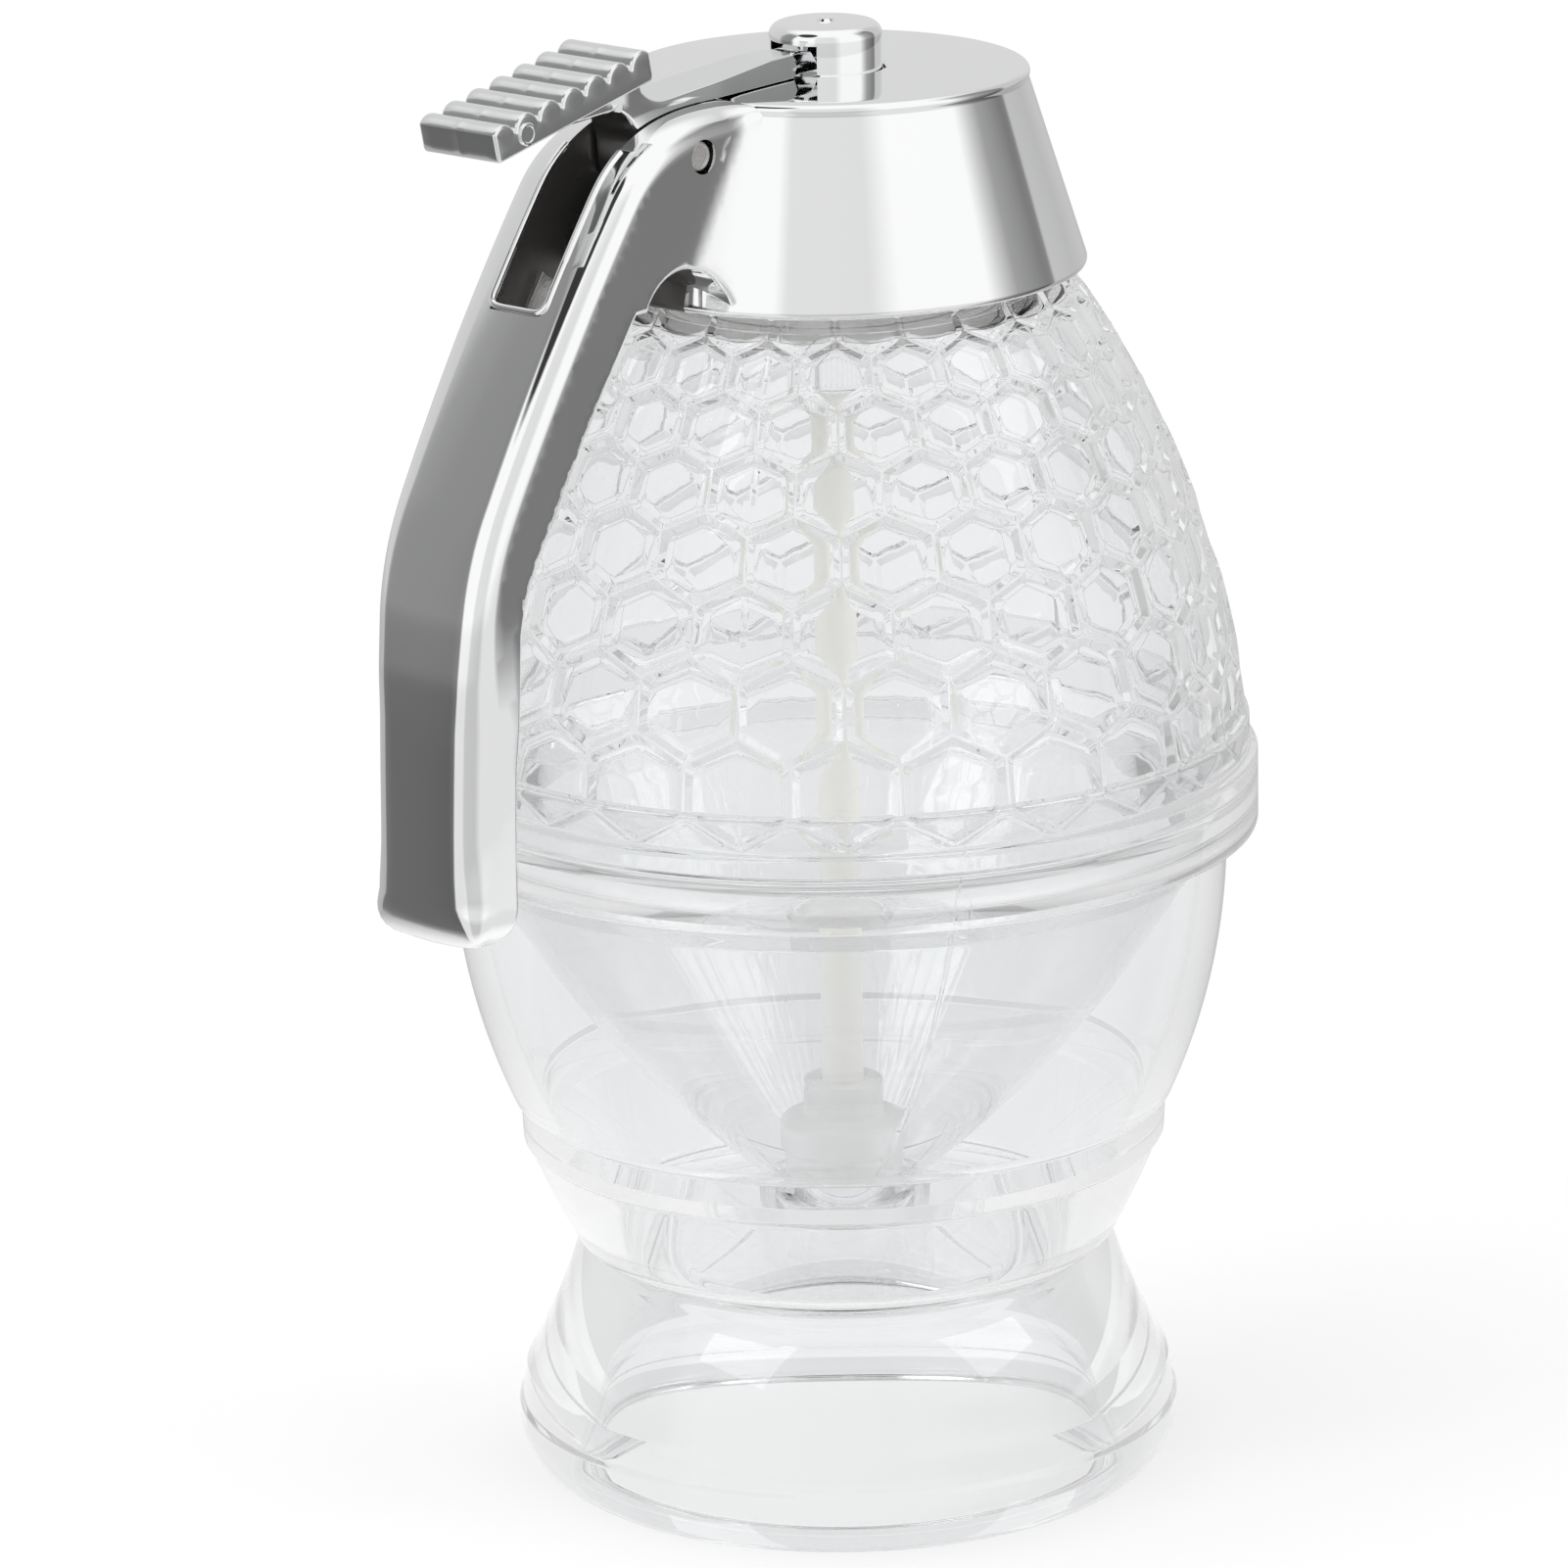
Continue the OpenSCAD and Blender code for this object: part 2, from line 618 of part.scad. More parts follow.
module lever_spring() {
    color([0.7, 0.7, 0.7])
    rotate([0, 0, 180]) rotate([90, 0, 0]) tube(spring_line, wire_r);
}

// ---------- valve ----------

cap_low_z = plate_z + 0.4;
cap_top_z = lid_top_z + cap_rise;
tenon_r = rod_r - 0.65;
tenon_l = 4;

module rod_cap() {
    notch_low = arm_z - 0.8;
    notch_high = arm_z + 2.85;
    cap_round = 1.3;
    color([0.8, 0.81, 0.83])
    difference() {
        rotate_extrude()
            polygon(concat([[0, cap_low_z], [cap_r, cap_low_z]],
                bend([cap_r - cap_round, cap_top_z - cap_round], cap_round, 0, 88, 6),
                [[0, cap_top_z + 0.15]]));
        translate([-cap_r - 1, -arm_w / 2 - 0.8, notch_low])
            cube([cap_r + 1 - tip_x + 0.4, arm_w + 1.6, notch_high - notch_low]);
        translate([0, 0, cap_low_z - 1])
            cylinder(h = tenon_l + 1.1, r = tenon_r + tiny);
    }
}

plug_low_z = collar_z + 0.9;
stopper_z = valve_z + seat;
rod_low_z = plug_low_z + 1.8;
barb_r = rod_r + 0.75;
barb_h = 1.3;

module lift_rod() {
    color([0.95, 0.95, 0.91]) {
        rotate_extrude() polygon([[0, rod_low_z], [barb_r - 0.3, rod_low_z],
            [barb_r, rod_low_z + barb_h / 2], [barb_r, rod_low_z + barb_h],
            [rod_r, rod_low_z + barb_h + 0.2], [rod_r, cap_low_z], [tenon_r, cap_low_z],
            [tenon_r, cap_low_z + tenon_l - 0.3], [tenon_r - 0.3, cap_low_z + tenon_l],
            [0, cap_low_z + tenon_l]]);
    }
}

module valve_stopper() {
    bore_r = rod_r + tiny;
    pocket_r = barb_r + tiny;
    pocket_low_z = rod_low_z - tiny;
    pocket_top_z = rod_low_z + barb_h + 0.25;
    collar_low_z = stopper_z + 7.4;
    top_z = stopper_z + 11.2;
    waist = stopper_r - 0.5;
    color([0.93, 0.93, 0.92, 0.8])
    rotate_extrude()
        polygon(concat(
            [[0, plug_low_z]],
            bend([plug_r - 1.2, plug_low_z + 1.2], 1.2, -90, 0, 4),
            [[plug_r, stopper_z], [waist, stopper_z], [waist, stopper_z + 3]],
            bend([stopper_r - 0.8, stopper_z + 4.2], 0.8, -60, 0, 3),
            bend([stopper_r - 1, collar_low_z - 1.2], 1, 0, 70, 4),
            [[rod_r + 2.05, collar_low_z], [rod_r + 2.05, top_z - 0.3],
             [rod_r + 1.75, top_z], [bore_r, top_z], [bore_r, pocket_top_z],
             [pocket_r, pocket_top_z], [pocket_r, pocket_low_z], [0, pocket_low_z]]));
}

stand();
jar_funnel();
jar_dome();
lid();
lid_liner();
rod_guide();
handle_cover();
pivot_pin();
thumb_lever();
thumb_pad();
pad_pin();
lever_spring();
rod_cap();
lift_rod();
valve_stopper();
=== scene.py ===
"""Looks of a one-hand honey dispenser: clear jar with a honeycomb dome, chrome lid and pedestal stand."""

import logging
import math
from collections.abc import Callable, Sequence
from dataclasses import dataclass, field
from enum import Enum

import bmesh
import bpy
from mathutils import Matrix, Vector
from mathutils.geometry import delaunay_2d_cdt


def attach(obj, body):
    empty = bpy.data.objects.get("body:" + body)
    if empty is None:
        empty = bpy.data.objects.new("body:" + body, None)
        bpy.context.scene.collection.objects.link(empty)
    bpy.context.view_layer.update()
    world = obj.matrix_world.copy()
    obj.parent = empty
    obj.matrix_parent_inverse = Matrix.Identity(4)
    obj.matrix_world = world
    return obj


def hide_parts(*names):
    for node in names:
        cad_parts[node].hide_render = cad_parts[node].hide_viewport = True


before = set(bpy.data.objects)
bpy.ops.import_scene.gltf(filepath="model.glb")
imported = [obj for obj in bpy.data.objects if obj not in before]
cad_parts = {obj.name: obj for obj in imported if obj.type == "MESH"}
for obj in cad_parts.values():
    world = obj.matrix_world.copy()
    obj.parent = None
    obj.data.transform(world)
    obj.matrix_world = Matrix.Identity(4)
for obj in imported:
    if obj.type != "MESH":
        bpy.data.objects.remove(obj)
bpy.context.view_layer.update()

log = logging.getLogger("honey_dispenser")

MM = 0.001
SOFT_EDGE = math.radians(32)
Point = tuple[float, float]
Outline = list[Point]
Path = list[tuple[float, float, float]]


# ---------- outlines, in millimetres ----------


def arc(a: Point, b: Point, radius: float, step: float = 0.7) -> Outline:
    """Points of a circular arc.

    Args:
        a: First point.
        b: Last point.
        radius: Radius; the arc bulges to the right of the way where it is positive, else to the left.
        step: Longest distance between points.

    Returns:
        The arc's points, both ends included.
    """
    dx, dy = b[0] - a[0], b[1] - a[1]
    chord = math.hypot(dx, dy)
    side = -math.copysign(1, radius)
    away = side * math.sqrt(radius * radius - chord * chord / 4) / chord
    cx, cy = (a[0] + b[0]) / 2 + away * dy, (a[1] + b[1]) / 2 - away * dx
    start = math.atan2(a[1] - cy, a[0] - cx)
    sweep = -side * 2 * math.asin(chord / 2 / abs(radius))
    count = max(2, math.ceil(abs(sweep * radius) / step))
    angles = [start + sweep * i / count for i in range(count + 1)]
    return [(cx + abs(radius) * math.cos(t), cy + abs(radius) * math.sin(t)) for t in angles]


def bend(centre: Point, radius: float, first: float, last: float, count: int = 8) -> Outline:
    """Points of an arc given by its centre, radius and two angles in degrees.

    Args:
        centre: Centre of the arc.
        radius: Radius of the arc.
        first: Angle at which it starts.
        last: Angle at which it ends.
        count: Number of steps.

    Returns:
        The arc's points.
    """
    angles = [math.radians(first + (last - first) * i / count) for i in range(count + 1)]
    return [(centre[0] + radius * math.cos(t), centre[1] + radius * math.sin(t)) for t in angles]


def eased(points: Outline, radius: float, closed: bool = False, least_turn: float = 18) -> Outline:
    """Rounds the corners of an outline.

    Args:
        points: The outline.
        radius: Radius of the rounding, made smaller where the sides are short.
        closed: Whether the last point joins the first.
        least_turn: Corners that turn less than this many degrees stay.

    Returns:
        The outline with its corners rounded.
    """
    result: Outline = []
    total = len(points)
    for i, p in enumerate(points):
        if not closed and i in (0, total - 1):
            result.append(p)
            continue
        before, after = Vector(points[i - 1]) - Vector(p), Vector(points[(i + 1) % total]) - Vector(p)
        if before.length < 1e-6 or after.length < 1e-6:
            continue
        turn = math.pi - before.angle(after)
        if math.degrees(turn) < least_turn:
            result.append(p)
            continue
        cut = min(radius * math.tan(turn / 2), 0.45 * before.length, 0.45 * after.length)
        start, end = Vector(p) + before.normalized() * cut, Vector(p) + after.normalized() * cut
        steps = max(3, math.ceil(math.degrees(turn) / 14))
        for k in range(steps + 1):
            t = k / steps
            q = (1 - t) ** 2 * start + 2 * t * (1 - t) * Vector(p) + t**2 * end
            result.append((q.x, q.y))
    return result


def dense(points: Outline, step: float, closed: bool = False) -> Outline:
    """Adds points along the long sides of an outline, so that no side is longer than a step."""
    result: Outline = []
    last = len(points) if closed else len(points) - 1
    for i in range(last):
        a, b = points[i], points[(i + 1) % len(points)]
        count = max(1, math.ceil(math.dist(a, b) / step))
        result += [(a[0] + (b[0] - a[0]) * k / count, a[1] + (b[1] - a[1]) * k / count) for k in range(count)]
    return result if closed else result + [points[-1]]


def curved_path(start: Point, legs: Sequence[Point], step: float = 0.8) -> Path:
    """A path of curved legs whose heading falls below the horizontal.

    Args:
        start: First point, out and up.
        legs: Length and turn in degrees of each leg.
        step: Longest distance between points.

    Returns:
        Points as out, up and heading in radians.
    """
    result = [(start[0], start[1], 0.0)]
    for length, turn in legs:
        x, z, heading = result[-1]
        radius = length / math.radians(turn)
        count = max(4, math.ceil(length / step))
        for i in range(1, count + 1):
            a = heading + math.radians(turn) * i / count
            out = x + radius * (math.sin(a) - math.sin(heading))
            up = z + radius * (math.cos(a) - math.cos(heading))
            result.append((out, up, a))
    return result


# ---------- meshes ----------


def in_scene(name: str, data: bpy.types.ID) -> bpy.types.Object:
    """Makes an object from a mesh, a camera or a lamp and puts it into the scene."""
    made = bpy.data.objects.new(name, data)
    bpy.context.scene.collection.objects.link(made)
    return made


def finished(
    name: str, bm: bmesh.types.BMesh, scale: float = MM, edge: float = SOFT_EDGE
) -> bpy.types.Object:
    """Turns a mesh under construction into a piece in metres, smooth except at its sharp edges.

    Args:
        name: Name of the piece.
        bm: The mesh, which is used up.
        scale: Factor from its units to metres.
        edge: Angle over which an edge stays sharp.

    Returns:
        The piece.
    """
    bmesh.ops.remove_doubles(bm, verts=bm.verts, dist=1e-5)
    bmesh.ops.dissolve_degenerate(bm, edges=bm.edges, dist=1e-6)
    bmesh.ops.recalc_face_normals(bm, faces=bm.faces)
    bmesh.ops.scale(bm, vec=(scale,) * 3, verts=bm.verts)
    for face in bm.faces:
        face.smooth = True
    for line in bm.edges:
        line.smooth = len(line.link_faces) == 2 and line.calc_face_angle(0) < edge
    mesh = bpy.data.meshes.new(name)
    bm.to_mesh(mesh)
    bm.free()
    return in_scene(name, mesh)


def turn_into(bm: bmesh.types.BMesh, outline: Outline, segments: int, closed: bool = False) -> list[list]:
    """Turns an outline of radius and height about the Z axis into faces.

    Args:
        bm: Mesh that receives the faces.
        outline: Points as radius and height.
        segments: Number of faces round the axis.
        closed: Whether the outline's last point joins its first.

    Returns:
        The rings of vertices, one for each point.
    """
    rings = []
    for r, z in outline:
        if r < 1e-6:
            rings.append([bm.verts.new((0, 0, z))] * segments)
            continue
        angles = [math.tau * k / segments for k in range(segments)]
        rings.append([bm.verts.new((r * math.cos(a), r * math.sin(a), z)) for a in angles])
    pairs = list(zip(rings, rings[1:]))
    if closed:
        pairs.append((rings[-1], rings[0]))
    for low, high in pairs:
        for k in range(segments):
            corners = [low[k], low[(k + 1) % segments], high[(k + 1) % segments], high[k]]
            loop = [v for i, v in enumerate(corners) if v not in corners[:i]]
            if len(loop) > 2:
                bm.faces.new(loop)
    return rings


def turned(name: str, outline: Outline, segments: int = 192, closed: bool = False) -> bpy.types.Object:
    """A piece turned about the Z axis from an outline that ends on the axis or closes on itself."""
    bm = bmesh.new()
    turn_into(bm, outline, segments, closed)
    return finished(name, bm)


def side_slab(
    name: str,
    outline: Outline,
    half: Callable[[float, float], float],
    edge: Callable[[float, float], Point],
    grid: float = 2.0,
    crown: float = 0.0,
    seam: float = 0.0,
) -> bpy.types.Object:
    """A slab with rounded edges, drawn in side view.

    Args:
        name: Name of the piece.
        outline: Closed side view, as distance out from the jar's axis and height.
        half: Half width of the slab at a point of the side view.
        edge: Depth and width of its rounded edges at a point of the side view.
        grid: Distance between points on its flat sides.
        crown: How far the middle of its narrow faces stands out.
        seam: How far the mould line along their middle stands out.

    Returns:
        The piece.
    """
    area = sum(a[0] * b[1] - b[0] * a[1] for a, b in zip(outline, outline[1:] + outline[:1]))
    points = [Vector(p) for p in (outline if area > 0 else outline[::-1])]
    total = len(points)
    normals = []
    for i in range(total):
        along = (points[i] - points[i - 1]).normalized() + (points[(i + 1) % total] - points[i]).normalized()
        along.normalize()
        normals.append(Vector((-along.y, along.x)))
    radii = [edge(p.x, p.y) for p in points]
    steps = 7
    bm = bmesh.new()
    rings = []
    for k in range(steps + 1):
        t = math.radians(90 * k / steps)
        deep, wide = 1 - math.cos(t), 1 - math.sin(t)
        rings.append([(p + n * r[0] * deep, r[1] * wide) for p, n, r in zip(points, normals, radii)])
    first_loops = []
    for side in (-1, 1):
        loops = []
        for ring in rings:
            loops.append([bm.verts.new((-q.x, side * (half(q.x, q.y) - drop), q.y)) for q, drop in ring])
        for low, high in zip(loops, loops[1:]):
            join_loops(bm, low, high)
        fill_side(bm, [q for q, _ in rings[-1]], loops[-1], half, side, grid)
        first_loops.append(loops[0])
    rows = [first_loops[0]]
    for share in (-0.75, -0.5, -0.25, -0.04, 0.0, 0.04, 0.25, 0.5, 0.75):
        row = []
        for p, n, a, b in zip(points, normals, *first_loops):
            out = crown * (1 - share * share) + (seam if share == 0 else 0.0)
            q = p - n * out
            row.append(bm.verts.new((-q.x, a.co.y + (b.co.y - a.co.y) * (1 + share) / 2, q.y)))
        rows.append(row)
    rows.append(first_loops[1])
    for low, high in zip(rows, rows[1:]):
        join_loops(bm, low, high)
    return finished(name, bm)


def join_loops(bm: bmesh.types.BMesh, low: list[bmesh.types.BMVert], high: list[bmesh.types.BMVert]) -> None:
    """Joins two closed loops of as many vertices with a band of faces."""
    total = len(low)
    for i in range(total):
        j = (i + 1) % total
        bm.faces.new((low[i], low[j], high[j], high[i]))


def fill_side(
    bm: bmesh.types.BMesh,
    ring: list[Vector],
    verts: list[bmesh.types.BMVert],
    half: Callable[[float, float], float],
    side: int,
    grid: float,
) -> None:
    """Fills one flat side of a slab with triangles that follow its half width.

    Args:
        bm: Mesh that receives the faces.
        ring: Outline of the flat side.
        verts: Vertices along that outline.
        half: Half width of the slab at a point of the side view.
        side: Side of the slab, -1 or 1.
        grid: Distance between the inner points.
    """
    total = len(ring)
    xs, ys = [q.x for q in ring], [q.y for q in ring]
    inner = []
    x = min(xs) + grid / 2
    while x < max(xs):
        crossings = sorted(
            a.y + (x - a.x) / (b.x - a.x) * (b.y - a.y)
            for a, b in zip(ring, ring[1:] + ring[:1])
            if (a.x > x) != (b.x > x)
        )
        for low, high in zip(crossings[::2], crossings[1::2]):
            count = int((high - low) / grid)
            inner += [Vector((x, low + (high - low) * (k + 0.5) / count)) for k in range(count)]
        x += grid
    near = grid * 0.4
    inner = [q for q in inner if min((q - p).length_squared for p in ring) > near * near]
    coords = ring + inner
    edges = [(i, (i + 1) % total) for i in range(total)]
    found, _, faces, origins, _, _ = delaunay_2d_cdt(coords, edges, [list(range(total))], 1, 1e-7)
    made = {}
    for k, sources in enumerate(origins):
        if sources and sources[0] < total:
            made[k] = verts[sources[0]]
        else:
            q = found[k]
            made[k] = bm.verts.new((-q.x, side * half(q.x, q.y), q.y))
    for face in faces:
        corners = [made[k] for k in face]
        if len(set(corners)) == len(corners):
            bm.faces.new(corners)


def side_bar(
    name: str, centre: Point, radius: float, length: float, chamfer: float = 0.2, dish: float = 0.0
) -> bpy.types.Object:
    """A round bar across the handle, with chamfered ends.

    Args:
        name: Name of the piece.
        centre: Its place in the side view.
        radius: Radius of the bar.
        length: Length of the bar.
        chamfer: Size of the chamfer at its ends.
        dish: How deep its ends are dished inside a narrow rim.

    Returns:
        The piece.
    """
    half = length / 2
    end = [(radius - chamfer, -half), (radius, chamfer - half)]
    if dish:
        rim = radius - chamfer - 0.15
        end = [(rim - dish, dish - half), (rim, -half)] + end
    outline = [(0, dish - half)] + end + [(r, -h) for r, h in reversed(end)] + [(0, half - dish)]
    bm = bmesh.new()
    turn_into(bm, outline, 48)
    for v in bm.verts:
        v.co = (v.co.x - centre[0], -v.co.z, v.co.y + centre[1])
    return finished(name, bm)


def tool_slab(name: str, outline: Outline, half: float) -> bpy.types.Object:
    """A plain slab with sharp edges, used as a tool.

    Args:
        name: Name of the tool.
        outline: Closed side view, as distance out from the jar's axis and height.
        half: Half width of the slab.

    Returns:
        The tool.
    """
    bm = bmesh.new()
    sides = [[bm.verts.new((-x, y, z)) for x, z in outline] for y in (-half, half)]
    join_loops(bm, *sides)
    bm.faces.new(sides[0])
    bm.faces.new(sides[1])
    return finished(name, bm)


def remade(piece: bpy.types.Object, edge: float = SOFT_EDGE) -> bpy.types.Object:
    """Bakes a piece's modifiers into its mesh and marks its sharp edges again."""
    shape = bpy.data.meshes.new_from_object(piece.evaluated_get(bpy.context.evaluated_depsgraph_get()))
    name = piece.name
    bpy.data.objects.remove(piece)
    bm = bmesh.new()
    bm.from_mesh(shape)
    bpy.data.meshes.remove(shape)
    return finished(name, bm, scale=1, edge=edge)


class Cut(Enum):
    """What a tool piece does to the piece that it meets."""

    AWAY = "DIFFERENCE"
    ADD = "UNION"


def worked(piece: bpy.types.Object, tool: bpy.types.Object, cut: Cut) -> bpy.types.Object:
    """Cuts a tool piece away from a piece, or adds it.

    Args:
        piece: Piece to work on.
        tool: Closed piece that is used up.
        cut: What the tool does.

    Returns:
        The worked piece.
    """
    change = piece.modifiers.new("work", "BOOLEAN")
    change.operation = cut.value
    change.solver = "EXACT"
    change.object = tool
    result = remade(piece)
    bpy.data.objects.remove(tool)
    return result


# ---------- node trees ----------


def node(
    tree: bpy.types.NodeTree, kind: str, links: dict | None = None, **settings: object
) -> bpy.types.Node:
    """Adds a node to a tree.

    Args:
        tree: Tree that receives the node.
        kind: Type of the node.
        links: Input name or number, and the value or the output socket that goes into it.
        settings: Properties of the node.

    Returns:
        The node.
    """
    made = tree.nodes.new(kind)
    for key, value in settings.items():
        setattr(made, key, value)
    for key, value in (links or {}).items():
        if isinstance(value, bpy.types.NodeSocket):
            tree.links.new(value, made.inputs[key])
        else:
            made.inputs[key].default_value = value
    return made


def maths(tree: bpy.types.NodeTree, operation: str, *values: object) -> bpy.types.NodeSocket:
    """Adds a Math node and returns its output.

    Args:
        tree: Tree that receives the node.
        operation: Name of the sum.
        values: Its numbers or sockets.

    Returns:
        The output socket.
    """
    return node(tree, "ShaderNodeMath", dict(enumerate(values)), operation=operation).outputs[0]


class GrowthTree:
    """A Geometry Nodes tree with named inputs, run on one piece and baked into it."""

    def __init__(self, name: str, inputs: dict[str, float | int]) -> None:
        """Makes the tree's sockets.

        Args:
            name: Name of the tree.
            inputs: Names and values of its inputs; a whole number makes a whole-number input.
        """
        self.tree = bpy.data.node_groups.new(name, "GeometryNodeTree")
        sockets = self.tree.interface
        sockets.new_socket("Geometry", in_out="INPUT", socket_type="NodeSocketGeometry")
        sockets.new_socket("Geometry", in_out="OUTPUT", socket_type="NodeSocketGeometry")
        sockets.new_socket("Finish", in_out="INPUT", socket_type="NodeSocketMaterial")
        self.values: dict[str, float | int] = {}
        for label, value in inputs.items():
            kind = "NodeSocketInt" if isinstance(value, int) else "NodeSocketFloat"
            made = sockets.new_socket(label, in_out="INPUT", socket_type=kind)
            self.values[made.identifier] = value
        self.finish_id = next(s.identifier for s in sockets.items_tree if s.name == "Finish")
        self.start = self.tree.nodes.new("NodeGroupInput")

    def input(self, label: str) -> bpy.types.NodeSocket:
        """The output of the tree's input node with that name."""
        return self.start.outputs[label]

    def end(self, geometry: bpy.types.NodeSocket) -> None:
        """Closes the tree with Realize Instances and Set Material."""
        real = node(self.tree, "GeometryNodeRealizeInstances", {0: geometry})
        finish = self.input("Finish")
        painted = node(self.tree, "GeometryNodeSetMaterial", {0: real.outputs[0], "Material": finish})
        node(self.tree, "NodeGroupOutput", {0: painted.outputs[0]})

    def grow(
        self, piece: bpy.types.Object, finish: bpy.types.Material, edge: float = SOFT_EDGE
    ) -> bpy.types.Object:
        """Runs the tree on a piece.

        Args:
            piece: Piece whose mesh the tree takes, in metres.
            finish: Material of the result.
            edge: Angle over which an edge stays sharp.

        Returns:
            The piece as a plain mesh.
        """
        work = piece.modifiers.new("grow", "NODES")
        work.node_group = self.tree
        work[self.finish_id] = finish
        for identifier, value in self.values.items():
            work[identifier] = value
        return remade(piece, edge)


# ---------- finishes ----------


class SharedEffects:
    """Shader groups that several finishes use."""

    def __init__(self) -> None:
        """Builds the groups once."""
        self.ripple = self._ripple()
        self.marks = self._marks()
        self.seam = self._seam()

    @staticmethod
    def _group(name: str, inputs: dict[str, float], output: str) -> tuple[bpy.types.NodeTree, bpy.types.Node]:
        """Starts a group with a vector input, named numbers and one output."""
        tree = bpy.data.node_groups.new(name, "ShaderNodeTree")
        tree.interface.new_socket("Vector", in_out="INPUT", socket_type="NodeSocketVector")
        for label, value in inputs.items():
            made = tree.interface.new_socket(label, in_out="INPUT", socket_type="NodeSocketFloat")
            made.default_value = value
        tree.interface.new_socket(output, in_out="OUTPUT", socket_type="NodeSocketFloat")
        return tree, tree.nodes.new("NodeGroupInput")

    def _ripple(self) -> bpy.types.NodeTree:
        """Slow waviness of a moulded skin, with a little fine unevenness."""
        tree, start = self._group("moulded_ripple", {"Size": 60.0, "Fine share": 0.2}, "Height")
        place, scale = start.outputs[0], start.outputs[1]
        slow = node(tree, "ShaderNodeTexNoise", {"Vector": place, "Scale": scale, "Detail": 1.0})
        size = maths(tree, "MULTIPLY", scale, 9.0)
        fine = node(tree, "ShaderNodeTexNoise", {"Vector": place, "Scale": size, "Detail": 2.0})
        share = maths(tree, "MULTIPLY", fine.outputs[0], start.outputs[2])
        node(tree, "NodeGroupOutput", {0: maths(tree, "ADD", slow.outputs[0], share)})
        return tree

    def _marks(self) -> bpy.types.NodeTree:
        """Faint handling marks, as a number between a low and a high value."""
        tree, start = self._group("handling_marks", {"Low": 0.02, "High": 0.08}, "Value")
        cloud = node(tree, "ShaderNodeTexNoise", {"Vector": start.outputs[0], "Scale": 90.0, "Detail": 5.0})
        spread = node(tree, "ShaderNodeMapRange", {
            "Value": cloud.outputs[0], "From Min": 0.35, "From Max": 0.75,
            3: start.outputs[1], 4: start.outputs[2],
        })
        node(tree, "NodeGroupOutput", {0: spread.outputs[0]})
        return tree

    def _seam(self) -> bpy.types.NodeTree:
        """Fine upright line where two halves of a mould met, on a round piece."""
        tree, start = self._group("mould_line", {"Side": 0.0, "Front": 1.0, "Half width": 0.0002}, "Mask")
        place = node(tree, "ShaderNodeSeparateXYZ", {0: start.outputs[0]})
        across = maths(
            tree,
            "SUBTRACT",
            maths(tree, "MULTIPLY", place.outputs[0], start.outputs["Side"]),
            maths(tree, "MULTIPLY", place.outputs[1], start.outputs["Front"]),
        )
        reach = maths(tree, "DIVIDE", maths(tree, "ABSOLUTE", across), start.outputs["Half width"])
        mask = maths(tree, "SUBTRACT", 1.0, maths(tree, "MINIMUM", reach, 1.0))
        node(tree, "NodeGroupOutput", {0: mask})
        return tree


